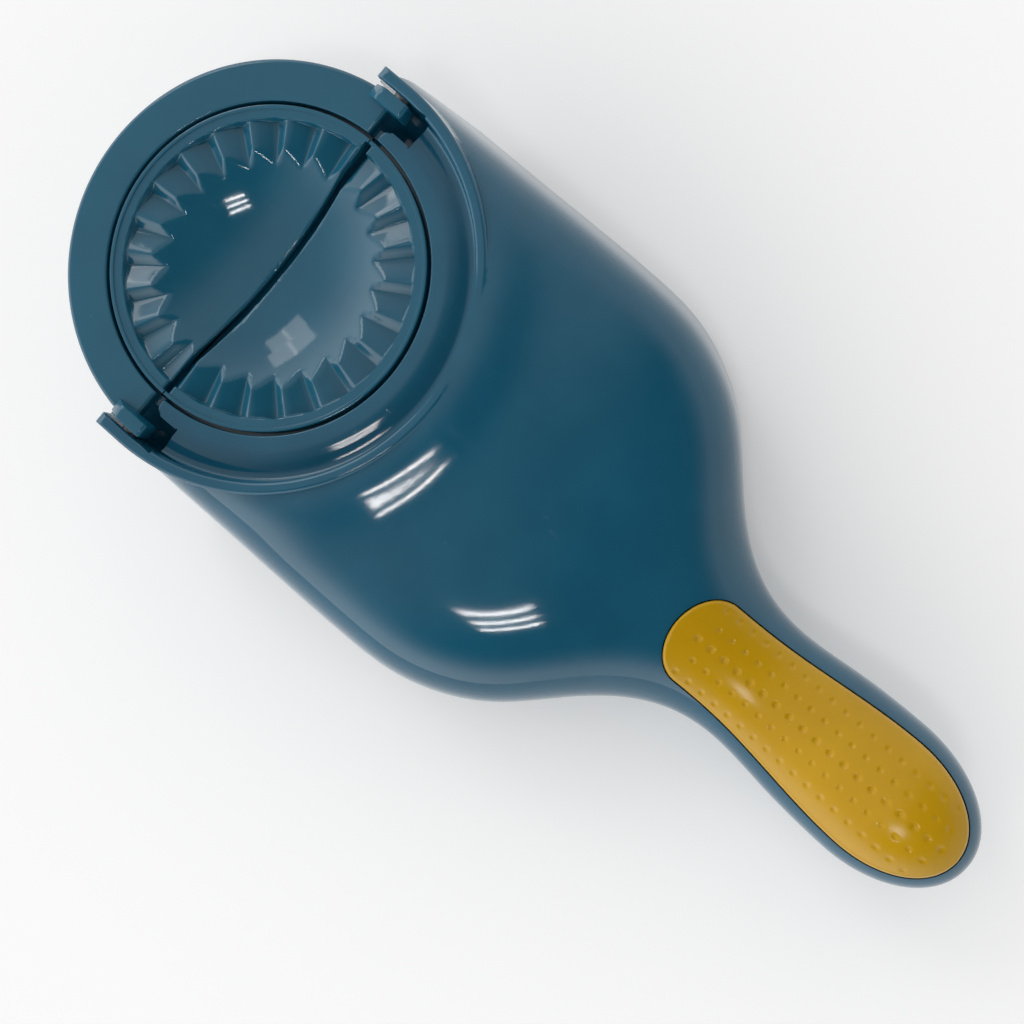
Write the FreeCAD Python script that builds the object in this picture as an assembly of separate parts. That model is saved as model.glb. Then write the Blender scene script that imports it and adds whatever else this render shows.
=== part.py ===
import FreeCAD, Part
import math
import os

# Hand-held dumpling press. A half ring with half a dish in it folds up about
# a hinge and closes on a second half dish, which is set in the top of a wide
# hollow body. The body runs out into a handle with a soft pad on top, and its
# underside carries a flat round face for flattening dough.
# Millimetres. While a piece is modelled, x = 0 and y = 0 are the centre of
# the dish, z = 0 is the face of the ring and +X points to the handle. A
# finished piece is moved so that the origin is the centre of the press face.

V = FreeCAD.Vector

# Mould ring and flap
FLAP_R = 46.0          # outer radius of the folding half ring
RING_T = 2.8           # thickness of the ring plates
SKIRT_T = 2.0          # skirts under the ring plates
SKIRT_H = 6.5          # height of the flap's outer skirt
FLAP_ROUND = 1.2       # rounding of the flap's outer edge
RIB_T = 1.6            # ribs in the flap's channel
RIB_STEP = 30.0        # degrees from one channel rib to the next
BUTT = 1.0             # straight edges stand this far from the hinge plane
FLAP_BUTT = 1.4        # straight edge of the flap's plate from the hinge plane
END_SINK = 2.0         # end walls of the flap's channel behind that edge

# Mould cups
CUP_R = 35.8           # outer radius of a cup
CUP_GAP = 0.8          # open groove between a cup and its ring
CUP_SEAT = 4.5         # depth of the ledge that carries a cup
CUP_WALL = 2.0         # wall of the dish
LEDGE_T = 1.5          # thickness of the ledge
LEDGE_W = 5.0          # how far the ledge reaches inside the ring
DISH_DEPTH = 8.1       # depth of the closed dish half under the ring face
DISH_R = 50.7          # sphere radius of the dish
LIP_W = 0.9            # sealing lip at the cup's rim
LIP_H = 0.1            # lip over the ring face
LIP_DEEP = 2.2         # depth of the lip's free ends
TIP_GAP = 0.15         # lip ends stand this far from the hinge plane
RIM_W = 3.0            # width of the rim from the cup's edge to the teeth
RIM_SINK = 0.3         # rim under the ring face

# Pleating teeth, a saw form that runs round each half
TOOTH_N = 12           # teeth on half a turn
TOOTH_TOP = 0.6        # tooth crest under the ring face
TOOTH_H = 2.0          # height of a tooth
TOOTH_STEEP = 4.5      # degrees taken by the steep flank
FRONT_PHASE = 2.5      # degrees, first crest on the flap's cup
REAR_PHASE = 11.5      # degrees, first crest on the fixed cup

# Hinge
HINGE_RISE = 0.5       # hinge axis over the ring face
PIN_R = 2.0            # hinge pin
PIN_FIT = 0.05         # running clearance of a pin in its ear
PIN_PRESS = 0.02       # clearance of a pin in its lug
PIN_SINK = 1.0         # pin end under the ear's outer face
PIN_END = 0.2          # pin's inner end to the bottom of its blind hole
LUG_SKIN = 0.8         # skin of a lug over the pin's inner end
LUG_R = 3.6            # lug over and under the hinge axis
LUG_BACK = 3.4         # lug behind the hinge axis
LUG_ROUND = 1.0        # rounding of a lug's back corners
LUG_W = 3.3            # thickness of a lug
LUG_REACH = 6.8        # lug in front of the hinge axis
LUG_FLAT = 3.8         # flat top of the lug in front of the axis
SIDE_GAP = 0.8         # flap to ears and collar
SWING_GAP = 0.9        # lug to the back of its notch
NOTCH_IN = 3.1         # notch inside of the lug
STOP_W = 2.2           # width of a stop nib
STOP_GAP = 0.15        # stop nib to the fixed ring

# Upper shell
WALL = 2.5             # wall of the shells
COLLAR_T = 2.8         # wall round the ring's recess
COLLAR_H = 4.2         # collar over the ring face
COLLAR_ROUND = 1.0     # rounding of the collar's top edges
COLLAR_FLARE = 1.3     # lean of the collar's outside
COLLAR_DROP = 14.0     # collar's foot under the ring face
RECESS_FILLET = 1.5    # fillet between ring floor and collar
# slope of the ring floor on its way down to the gutter at the collar, by radius
GUTTER = ((39.3, 0.0), (40.6, 0.18), (42.2, 0.25), (43.4, 0.33), (44.3, 0.3), (44.8, 0.2), (45.3, 0.0))
EAR_X = 7.2            # ears in front of the hinge axis
EAR_ROUND = 3.0        # rounding of an ear's top corner
EAR_LOW = 7.0          # ear's front edge ends this far under the face
SHELF_X = 6.0          # shelf under the hinge, in front of its axis
SHELF_Z = 11.2         # shelf under the ring face, below the flap's dish
FRONT_FOOT = 7.5       # foot of the leaning front wall behind the hinge axis
TAB_ROUND = 1.8        # corners of the fixed ring beside the notches
FOOT_SPREAD = 6.3      # foot of the side wall outside of the collar

# Outline of body and handle, seen from above
SIDE_END_X = 62.0      # end of the straight sides
NECK_X = 138.0         # narrowest point of the handle
PALM_X = 172.6         # widest point of the handle
TAIL_X = 197.6         # end of the handle
NECK_HALF = 15.5       # half width at the neck
PALM_HALF = 17.4       # half width at the palm
# share of the way across and share of the drop from body to neck
SHOULDER = ((0.184, 0.961), (0.342, 0.847), (0.5, 0.636), (0.658, 0.323), (0.816, 0.096))

# Side view, depths under the ring face
RIM_Z = 33.0           # parting line of the body
RIM_REAR = 27.2        # parting line behind the body
RIM_NECK = 27.0        # parting line at the neck
RIM_PALM = 22.5        # parting line at the palm
RIM_TAIL = 18.0        # parting line at the end
CREST_NECK = 11.0      # top of the handle at the neck
CREST_PALM = 5.8       # top of the handle at the palm
# heights of the body's top over the ring face, behind the dish centre
CREST = ((49.6, 3.83), (52.2, 3.56), (54.4, 3.18), (56.6, 2.71), (58.9, 2.2), (62.0, 1.65), (66.0, 1.1),
         (75.0, -0.02), (85.0, -1.24), (95.0, -2.58), (105.0, -4.38), (120.0, -7.89))
BELLY = 37.0           # underside of the body
BELLY_PALM = 34.5      # underside of the handle at the palm
BODY_POWER = 6.0       # squareness of the body's section
HANDLE_POWER = 2.2     # squareness of the handle's section
BELLY_POWER = 5.0      # squareness of the body's underside
PARTING = 0.2          # gap between the two shells
LAP_T = 1.2            # locating lip of the lower shell
LAP_H = 2.5            # height of the locating lip
LAP_FIT = 0.5          # locating lip to the upper shell

# Press face under the body
PRESS_R = 38.0         # radius of the flat round face
PRESS_H = 3.0          # face under the belly
PRESS_ROUND = 1.5      # rounding of its edge
PRESS_X = 52.0         # centre of the face behind the dish centre

# Grip pad
GRIP_X = 117.0         # front end of the pad
GRIP_TAIL = 4.3        # pad's rear end to the handle's end
GRIP_NOSE = 8.0        # length of the pad's round nose
GRIP_HALF = 10.5       # half width behind the nose
GRIP_PALM = 13.85      # half width at the palm
GRIP_DEEP = 1.8        # depth of the pad's recess
GRIP_PROUD = 0.6       # pad over the handle
GRIP_GAP = 0.3         # gap round the pad
GRIP_BED = 0.15        # bond line under the pad
GRIP_WALL = 4.4        # wall of the handle round the recess
STUD_R = 2.0           # studs that hold the pad
STUD_FIT = 0.1         # clearance of a stud in its hole
STUD_X = (140.0, 162.0)

# Screws
SCREW_R = 1.45         # shell screws
SCREW_FIT = 0.05       # clearance in the threaded part of a boss
SCREW_FREE = 0.25      # clearance in the plain part of a boss
SCREW_BITE = 6.5       # thread engagement
HEAD_R = 2.8
HEAD_H = 2.0
HEAD_FREE = 0.4        # clearance round a sunk head
BOSS_R = 4.2
BOSS_WEB = 4.5         # bottom of a boss under the screw head
BODY_BOSS = ((34.0, 43.0), (84.0, 36.0))
BODY_SEAT = 28.0       # depth where the body's bosses meet
HANDLE_BOSS = ((124.0, 22.5), (177.0, 18.5))
CUP_SCREW_R = 1.1      # cup screws
CUP_SCREW_IN = 1.6     # screw circle inside the cup's edge
CUP_SCREW_BITE = 2.0
CUP_HEAD_R = 2.0
CUP_HEAD_H = 1.4
CUP_SCREW_AT = (30.0, 90.0, 150.0)
CROSS_W = 0.7          # cross recess in the screw heads
CROSS_DEEP = 0.8

# Sizes that follow from the ones above
BORE_R = CUP_R + CUP_GAP
RECESS_R = FLAP_R + SIDE_GAP
COLLAR_R = RECESS_R + COLLAR_T
BODY_HALF = COLLAR_R + FOOT_SPREAD
FLARE = FOOT_SPREAD / BODY_HALF
TOOTH_R = CUP_R - RIM_W
PITCH = 180.0 / TOOTH_N
LUG_OUT = FLAP_R
LUG_IN = LUG_OUT - LUG_W
NOTCH_Y = LUG_IN - NOTCH_IN
NOTCH_X = LUG_REACH + SWING_GAP
LEDGE_R = BORE_R - LEDGE_W
LEDGE_Z = -(CUP_SEAT + LEDGE_T)
RING_Z = BELLY + PRESS_H
TAIL = TAIL_X - PALM_X
WALL_X = SIDE_END_X + 0.6 * (GRIP_X - SIDE_END_X)


def spline(points, start=0.0, end=0.0):
    """Cubic curve through points, with given slopes at both ends."""
    xs = [p[0] for p in points]
    ys = [p[1] for p in points]
    n = len(xs)
    h = [xs[i + 1] - xs[i] for i in range(n - 1)]
    d = [(ys[i + 1] - ys[i]) / h[i] for i in range(n - 1)]
    a, b, c, r = [0.0] * n, [0.0] * n, [0.0] * n, [0.0] * n
    b[0], r[0], b[-1], r[-1] = 1.0, start, 1.0, end
    for i in range(1, n - 1):
        a[i], b[i], c[i] = h[i], 2 * (h[i] + h[i - 1]), h[i - 1]
        r[i] = 3 * (h[i] * d[i - 1] + h[i - 1] * d[i])
    for i in range(1, n):
        k = a[i] / b[i - 1]
        b[i] -= k * c[i - 1]
        r[i] -= k * r[i - 1]
    m = [0.0] * n
    m[-1] = r[-1] / b[-1]
    for i in range(n - 2, -1, -1):
        m[i] = (r[i] - c[i] * m[i + 1]) / b[i]

    def value(x):
        x = min(max(x, xs[0]), xs[-1])
        i = max(k for k in range(n - 1) if xs[k] <= x)
        t = (x - xs[i]) / h[i]
        u = 1 - t
        return (ys[i] * u * u * (1 + 2 * t) + ys[i + 1] * t * t * (3 - 2 * t)
                + h[i] * (m[i] * t * u * u - m[i + 1] * t * t * u))
    return value


def between(a, b, share):
    """Point a share of the way from a to b."""
    return a + (b - a) * share


def smooth(x, a, b):
    """0 up to a, 1 from b, with an easy rise between."""
    t = min(max((x - a) / (b - a), 0.0), 1.0)
    return t * t * (3 - 2 * t)


REAR_X = between(SIDE_END_X, NECK_X, 0.55)
TAIL_SLOPE = (RIM_PALM - RIM_TAIL) / TAIL

half_curve = spline(
    [(-EAR_X, BODY_HALF), (between(0, SIDE_END_X, 0.5), BODY_HALF), (SIDE_END_X, BODY_HALF)]
    + [(between(SIDE_END_X, NECK_X, u), between(NECK_HALF, BODY_HALF, v)) for u, v in SHOULDER]
    + [(NECK_X, NECK_HALF), (between(NECK_X, PALM_X, 0.5), between(NECK_HALF, PALM_HALF, 0.6)),
       (PALM_X, PALM_HALF)])
rim_curve = spline(
    [(-EAR_X, -RIM_Z), (between(0, SIDE_END_X, 0.6), -RIM_Z), (SIDE_END_X, -RIM_Z),
     (REAR_X, -RIM_REAR), (NECK_X, -RIM_NECK), (PALM_X, -RIM_PALM), (TAIL_X, -RIM_TAIL)],
    end=TAIL_SLOPE / 2)
crest_curve = spline(
    [(-EAR_X, COLLAR_H), (between(0, COLLAR_R, 0.5), COLLAR_H)] + list(CREST)
    + [(NECK_X, -CREST_NECK), (PALM_X, -CREST_PALM)], end=TAIL_SLOPE)
belly_curve = spline(
    [(-EAR_X, -BELLY), (SIDE_END_X, -BELLY), (NECK_X, -BELLY), (PALM_X, -BELLY_PALM)],
    end=TAIL_SLOPE)


def tail_share(x):
    """The handle's end is round: 1 up to the palm, 0 at the very end."""
    t = min(max((x - PALM_X) / TAIL, 0.0), 1.0)
    return math.sqrt(1 - t * t)


def half_at(x):
    """Half width of the parting line."""
    return half_curve(x) * tail_share(x)


def rim_at(x):
    """Height of the parting line."""
    return rim_curve(x)


def crest_at(x):
    """Height of the top along the middle."""
    if x <= PALM_X:
        return crest_curve(x)
    return rim_at(x) + (RIM_PALM - CREST_PALM) * tail_share(x)


def belly_at(x):
    """Height of the underside along the middle."""
    if x <= PALM_X:
        return belly_curve(x)
    return rim_at(x) - (BELLY_PALM - RIM_PALM) * tail_share(x)


def power_at(x, square):
    """Squareness of the section: square in the body, round in the handle."""
    return between(square, HANDLE_POWER, smooth(x, SIDE_END_X, between(SIDE_END_X, NECK_X, 0.9)))


def flare_at(x):
    """The side walls lean inwards over the body only."""
    return FLARE * (1 - smooth(x, SIDE_END_X, NECK_X))


def quarter(half, height, power, flare, count):
    """Quarter of a section from the parting line to the middle, as (y, z)."""
    k = 60
    mid = 0.5 ** (1 / power)
    raw = [((1 - (mid * i / k) ** power) ** (1 / power), mid * i / k) for i in range(k)]
    raw += [(mid * (k - i) / k, (1 - (mid * (k - i) / k) ** power) ** (1 / power)) for i in range(k + 1)]
    raw = [(half * (1 - flare * s) * c, height * s) for c, s in raw]
    run, turn = [0.0], [0.0]
    for i in range(1, len(raw)):
        run.append(run[-1] + math.dist(raw[i], raw[i - 1]))
        if i > 1:
            a = math.atan2(raw[i][1] - raw[i - 1][1], raw[i][0] - raw[i - 1][0])
            b = math.atan2(raw[i - 1][1] - raw[i - 2][1], raw[i - 1][0] - raw[i - 2][0])
            turn.append(turn[-1] + abs(a - b))
        else:
            turn.append(0.0)
    pace = [0.5 * p / run[-1] + 0.5 * q / turn[-1] for p, q in zip(run, turn)]
    out = []
    for j in range(count + 1):
        want = j / count
        i = max(m for m in range(len(pace)) if pace[m] <= want + 1e-9)
        i = min(i, len(raw) - 2)
        t = min(max((want - pace[i]) / max(pace[i + 1] - pace[i], 1e-9), 0.0), 1.0)
        out.append((between(raw[i][0], raw[i + 1][0], t), between(raw[i][1], raw[i + 1][1], t)))
    return out


def arch(x, half, foot, height, power, flare, skirt, sign):
    """Closed section: an arch over the parting line, or under it for sign -1."""
    side = quarter(half, height, power, flare, 9)
    pts = [V(x, y, foot + sign * z) for y, z in side]
    pts += [V(x, -y, foot + sign * z) for y, z in side[-2::-1]]
    curve = Part.BSplineCurve()
    curve.interpolate(pts)
    a, b = pts[0], pts[-1]
    if skirt <= 0:
        return Part.Wire([curve.toShape(), Part.makeLine(b, a)])
    low = V(0, 0, -sign * skirt)
    return Part.Wire([curve.toShape(), Part.makeLine(b, b + low), Part.makeLine(b + low, a + low),
                      Part.makeLine(a + low, a)])


def stations(start, inset):
    """Places of the sections from start to the handle's end."""
    last = PALM_X + TAIL * math.sqrt(1 - ((inset + 1.6) / PALM_HALF) ** 2)
    xs = [start, between(start, SIDE_END_X, 0.35), between(start, SIDE_END_X, 0.7), SIDE_END_X]
    xs += [between(SIDE_END_X, NECK_X, u / 8) for u in range(1, 9)]
    xs += [between(NECK_X, PALM_X, u / 3) for u in range(1, 4)]
    xs += [between(PALM_X, last, math.sin(math.pi * u / 12)) for u in range(1, 7)]
    return xs


def upper_form(inset, start, skirt=0.0):
    """Solid under the upper skin, set in by inset(x)."""
    wires = []
    for x in stations(start, inset(TAIL_X)):
        t = inset(x)
        wires.append(arch(x, half_at(x) - t, rim_at(x), crest_at(x) - rim_at(x) - t,
                          power_at(x, BODY_POWER), flare_at(x), skirt, 1))
    return Part.makeLoft(wires, True, False)


def lower_form(inset, start, skirt=0.0, drop=0.0):
    """Solid over the lower skin, set in by inset."""
    wires = []
    for x in stations(start, inset):
        wires.append(arch(x, half_at(x) - inset, rim_at(x) - drop, rim_at(x) - belly_at(x) - inset - drop,
                          power_at(x, BELLY_POWER), 0.0, skirt, -1))
    return Part.makeLoft(wires, True, False)


def band(inset, low, high, start):
    """Solid along the parting line from low to high, set in by inset."""
    wires = []
    for x in stations(start, inset):
        y, z = half_at(x) - inset, rim_at(x)
        wires.append(Part.makePolygon([V(x, y, z + low), V(x, y, z + high), V(x, -y, z + high),
                                       V(x, -y, z + low), V(x, y, z + low)]))
    return Part.makeLoft(wires, True, False)


def face(points):
    """Plane face through points in order."""
    return Part.Face(Part.makePolygon(points + points[:1]))


def box(x0, x1, y0, y1, z0, z1):
    """Box between two corners."""
    return Part.makeBox(x1 - x0, y1 - y0, z1 - z0, V(x0, y0, z0))


def turned(points, start=-90.0, sweep=180.0):
    """Profile of (radius, z) points turned about the dish axis, behind the hinge line."""
    wire = Part.makePolygon([V(r, 0, z) for r, z in points + points[:1]])
    solid = Part.Face(wire).revolve(V(0, 0, 0), V(0, 0, 1), sweep)
    solid.rotate(V(0, 0, 0), V(0, 0, 1), start)
    return solid


def upright(x, y, z0, z1, radius):
    """Round bar along Z."""
    return Part.makeCylinder(radius, z1 - z0, V(x, y, z0))


def across(x, z, y0, y1, radius):
    """Round bar along Y."""
    return Part.makeCylinder(radius, y1 - y0, V(x, y0, z), V(0, 1, 0))


def both(shape):
    """Shape and its mirror image on the other side."""
    return [shape, shape.mirror(V(0, 0, 0), V(0, 1, 0))]


def ring_spot(radius, angle, front):
    """Point on a ring, angle from +Y, on the flap's side or the fixed side."""
    a = math.radians(angle)
    return (-1 if front else 1) * radius * math.sin(a), radius * math.cos(a)


def dish_z(radius, wall=0.0):
    """Height of the dish, or of its underside with its wall."""
    return DISH_R - DISH_DEPTH - math.sqrt((DISH_R + wall) ** 2 - radius ** 2)


def dish_reach(z, wall=0.0):
    """Radius where the dish, or its underside, is at height z."""
    return math.sqrt((DISH_R + wall) ** 2 - (DISH_R - DISH_DEPTH - z) ** 2)


def dish_profile():
    """Closed profile of a cup in the XZ plane, with round dish lines."""
    crest = dish_reach(-TOOTH_TOP)
    under = dish_reach(-CUP_SEAT, CUP_WALL)

    def arc(reach, wall):
        return Part.Arc(V(0, 0, dish_z(0, wall)), V(reach / 2, 0, dish_z(reach / 2, wall)),
                        V(reach, 0, dish_z(reach, wall))).toShape()
    pts = [V(crest, 0, -TOOTH_TOP), V(TOOTH_R, 0, -TOOTH_TOP), V(TOOTH_R, 0, -RIM_SINK),
           V(CUP_R - LIP_W, 0, -RIM_SINK), V(CUP_R - LIP_W, 0, LIP_H), V(CUP_R, 0, LIP_H),
           V(CUP_R, 0, -CUP_SEAT), V(under, 0, -CUP_SEAT)]
    edges = [arc(crest, 0.0)] + [Part.makeLine(a, b) for a, b in zip(pts, pts[1:])]
    edges += [arc(under, CUP_WALL), Part.makeLine(V(0, 0, dish_z(0, CUP_WALL)), V(0, 0, dish_z(0)))]
    return Part.Face(Part.Wire(Part.__sortEdges__(edges)))


def tooth_cut(angle, front):
    """What one saw tooth leaves free: crest, long flank, steep flank, crest."""
    step = math.radians(PITCH)
    steep = math.radians(TOOTH_STEEP)
    low = -TOOTH_TOP - TOOTH_H
    rise = -RIM_SINK + 1.0
    rings = []
    for r in (TOOTH_R * 0.5, TOOTH_R):
        left, dip, right = -step / 2, step / 2 - steep, step / 2
        if front:
            left, dip, right = -step / 2, -step / 2 + steep, step / 2
        rows = ((left, -TOOTH_TOP), (dip, low), (right, -TOOTH_TOP), (right, rise), (left, rise))
        pts = [V(r, r * math.tan(a), z) for a, z in rows]
        rings.append(Part.makePolygon(pts + pts[:1]))
    cut = Part.makeLoft(rings, True, True)
    # the tool points along +X; angles run from +Y towards the cup
    cut.rotate(V(0, 0, 0), V(0, 0, 1), (90 + angle) if front else (90 - angle))
    return cut


def mould_cup(front):
    """Half dish with its ring of saw teeth, seat and sealing lip."""
    full = dish_profile().revolve(V(0, 0, 0), V(0, 0, 1), 180)
    full.rotate(V(0, 0, 0), V(0, 0, 1), 90 if front else -90)
    far = 2 * CUP_R
    edge = BUTT - TIP_GAP
    keep = box(-far, -edge, -far, far, -far, far) if front else box(edge, far, -far, far, -far, far)
    cup = full.common(keep)
    # the lip alone runs on to the hinge plane
    lip = turned([(CUP_R - LIP_W, -LIP_DEEP), (CUP_R, -LIP_DEEP), (CUP_R, LIP_H), (CUP_R - LIP_W, LIP_H)])
    if front:
        lip.rotate(V(0, 0, 0), V(0, 0, 1), 180)
    strip = box(-BUTT * 2, -TIP_GAP, -far, far, -far, far) if front \
        else box(TIP_GAP, BUTT * 2, -far, far, -far, far)
    cup = cup.fuse(lip.common(strip)).removeSplitter()
    phase = FRONT_PHASE if front else REAR_PHASE
    for k in range(-1, TOOTH_N + 1):
        middle = phase + PITCH * (k + 0.5)
        if -PITCH / 2 < middle < 180 + PITCH / 2:
            cup = cup.cut(tooth_cut(middle, front))
    for a in CUP_SCREW_AT:
        x, y = ring_spot(CUP_R - CUP_SCREW_IN, a, front)
        cup = cup.cut(upright(x, y, -CUP_SEAT - 1, -CUP_SEAT + CUP_SCREW_BITE, CUP_SCREW_R + SCREW_FIT))
    return cup


def ring_channel():
    """Half ring of the flap: plate, outer skirt, bore skirt and cup ledge, behind the hinge."""
    o, z = FLAP_R, FLAP_ROUND
    corner = [(o - z * (1 - math.sin(math.radians(t))), -z * (1 - math.cos(math.radians(t))))
              for t in (0, 30, 60, 90)]
    return turned([(BORE_R, 0.0)] + corner
                  + [(o, -SKIRT_H), (o - SKIRT_T, -SKIRT_H), (o - SKIRT_T, -RING_T),
                     (BORE_R + SKIRT_T, -RING_T), (BORE_R + SKIRT_T, LEDGE_Z), (LEDGE_R, LEDGE_Z),
                     (LEDGE_R, -CUP_SEAT), (BORE_R, -CUP_SEAT)])


def flap_lug():
    """Hinge lug on the +Y side: a bar with a sloping front and a square back end with round corners."""
    low, high = HINGE_RISE - LUG_R, HINGE_RISE + LUG_R
    bar = face([V(LUG_BACK, LUG_IN, low), V(LUG_BACK, LUG_IN, high), V(-LUG_FLAT, LUG_IN, high),
                V(-LUG_REACH, LUG_IN, HINGE_RISE), V(-LUG_REACH, LUG_IN, low)])
    bar = bar.extrude(V(0, LUG_W, 0))
    back = [e for e in bar.Edges if e.BoundBox.XMin > LUG_BACK - 0.01 and e.BoundBox.YLength > LUG_W / 2]
    return bar.makeFillet(LUG_ROUND, back)


def flap_ring():
    """Folding half ring with its lugs, channel ribs and stop nibs."""
    ring = ring_channel()
    ring.rotate(V(0, 0, 0), V(0, 0, 1), 180)
    far = 2 * FLAP_R
    ring = ring.common(box(-far, -FLAP_BUTT, -far, far, -far, far))
    extra = []
    count = int(round(180 / RIB_STEP))
    for k in range(1, count):
        rib = box(BORE_R + SKIRT_T / 2, FLAP_R - SKIRT_T / 2, -RIB_T / 2, RIB_T / 2, LEDGE_Z, -RING_T / 2)
        rib.rotate(V(0, 0, 0), V(0, 0, 1), 90 + k * RIB_STEP)
        extra.append(rib)
    # end walls close the channel near the hinge line, under the lugs
    back = -FLAP_BUTT - END_SINK
    end = box(back - SKIRT_T, back, BORE_R + SKIRT_T / 2, LUG_IN + SKIRT_T / 2, LEDGE_Z, -RING_T / 2)
    nib = box(back - SKIRT_T, BUTT - STOP_GAP, BORE_R + STOP_GAP, BORE_R + STOP_GAP + STOP_W,
              LEDGE_Z, -RING_T)
    for piece in (end, nib, flap_lug()):
        extra += both(piece)
    ring = ring.fuse(extra).removeSplitter()
    for hole in both(across(0, HINGE_RISE, LUG_IN + LUG_SKIN, LUG_OUT + 1, PIN_R + PIN_PRESS)):
        ring = ring.cut(hole)
    for a in CUP_SCREW_AT:
        x, y = ring_spot(CUP_R - CUP_SCREW_IN, a, True)
        ring = ring.cut(upright(x, y, LEDGE_Z - 1, 0, CUP_SCREW_R + SCREW_FREE))
    return ring


def collar_section():
    """Profile of the collar wall, (radius, z), with round top edges."""
    q = COLLAR_ROUND
    arc = [(q * (1 - math.cos(math.radians(t))), q * (1 - math.sin(math.radians(t))))
           for t in (0, 30, 60, 90)]
    inner = [(RECESS_R + dx, COLLAR_H - dz) for dx, dz in arc]
    outer = [(COLLAR_R - dx, COLLAR_H - dz) for dx, dz in arc[::-1]]
    foot = COLLAR_R + COLLAR_FLARE * (COLLAR_DROP + COLLAR_H) / COLLAR_DROP
    return [(RECESS_R, -COLLAR_DROP)] + inner + outer + [(foot, -COLLAR_DROP)]


def collar():
    """Wall round the ring's recess, which runs on as the two hinge ears."""
    section = collar_section()
    ring = turned(section)
    ear = face([V(0, r, z) for r, z in section]).extrude(V(-EAR_X, 0, 0))
    return ring.fuse(both(ear))


def front_trim(lean=0.0):
    """What lies in front of the ears and of the leaning front wall."""
    r = EAR_ROUND
    arc = [(-EAR_X + r * (1 - math.cos(math.radians(t))), COLLAR_H - r * (1 - math.sin(math.radians(t))))
           for t in (0, 22.5, 45, 67.5, 90)]
    far = -4 * EAR_X
    pts = [(far, COLLAR_H + 1), (arc[-1][0], COLLAR_H + 1)] + arc[::-1]
    pts += [(-EAR_X, -EAR_LOW), (lean - SHELF_X, -SHELF_Z - WALL), (FRONT_FOOT + lean, -RIM_Z),
            (FRONT_FOOT + lean, -2 * RIM_Z), (far, -2 * RIM_Z)]
    wide = 2 * BODY_HALF
    return face([V(x, -wide, z) for x, z in pts]).extrude(V(0, 2 * wide, 0))


def recess_cut():
    """Sunk ring floor, open towards the flap: flat, down to a gutter, then up a fillet to the collar."""
    q = RECESS_FILLET
    floor = [(GUTTER[0][0], 0.0)]
    for (r0, fall0), (r1, fall1) in zip(GUTTER, GUTTER[1:]):
        floor.append((r1, floor[-1][1] - (r1 - r0) * (fall0 + fall1) / 2))
    low = floor[-1][1] + q
    fillet = [(RECESS_R - q + q * math.sin(math.radians(t)), low - q * math.cos(math.radians(t)))
              for t in (22.5, 45, 67.5, 90)]
    return turned([(0, 0)] + floor + fillet + [(RECESS_R, 2 * RIM_Z), (0, 2 * RIM_Z)])


def cup_clearance():
    """Bore, ledge opening and room under the fixed cup."""
    under = dish_reach(-CUP_SEAT, CUP_WALL + CUP_GAP)
    dome = Part.makeSphere(DISH_R + CUP_WALL + CUP_GAP, V(0, 0, DISH_R - DISH_DEPTH))
    dome = dome.common(upright(0, 0, -2 * RIM_Z, 0, max(under, LEDGE_R)))
    bore = upright(0, 0, -CUP_SEAT, 2 * COLLAR_H, BORE_R)
    ledge = upright(0, 0, LEDGE_Z - 1, 0, LEDGE_R)
    far = 3 * BORE_R
    return bore.fuse([ledge, dome]).common(box(0, far, -far, far, -far, far))


def shell_wall(x):
    """Wall of the upper shell: thicker where the handle carries the pad."""
    return between(WALL, GRIP_WALL, smooth(x, WALL_X, GRIP_X))


def boss_spots():
    """Bosses as (x, y, seat height)."""
    spots = [(x, s * y, -BODY_SEAT) for x, y in BODY_BOSS for s in (1, -1)]
    return spots, [(x, 0.0, -z) for x, z in HANDLE_BOSS]


def shell_cavity():
    """Room inside the upper shell, less the walls, bosses and ribs that stay."""
    room = upper_form(shell_wall, -EAR_X, skirt=2 * WALL)
    keep = [upright(0, 0, -RING_T, 2 * COLLAR_H, COLLAR_R),
            upright(0, 0, LEDGE_Z, 0, BORE_R + SKIRT_T),
            box(-EAR_X, BUTT + WALL, -BODY_HALF, BODY_HALF, -SHELF_Z - WALL, COLLAR_H), front_trim(WALL)]
    keep += both(box(-EAR_X, NOTCH_X + WALL, NOTCH_Y - WALL, BODY_HALF, -SHELF_Z - WALL, COLLAR_H))
    body, handle = boss_spots()
    keep += [upright(x, y, z, COLLAR_H + 1, BOSS_R) for x, y, z in body + handle]
    # stiffening ribs under the top of the body
    rib_x = between(COLLAR_R, GRIP_X, 0.5)
    deep = 4 * WALL
    keep += both(box(COLLAR_R - WALL, GRIP_X, COLLAR_R * 0.28, COLLAR_R * 0.28 + RIB_T,
                     crest_at(rib_x) - deep, COLLAR_H))
    keep.append(box(rib_x, rib_x + RIB_T, -BODY_HALF, BODY_HALF, crest_at(rib_x) - deep, COLLAR_H))
    return room.cut(keep)


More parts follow.
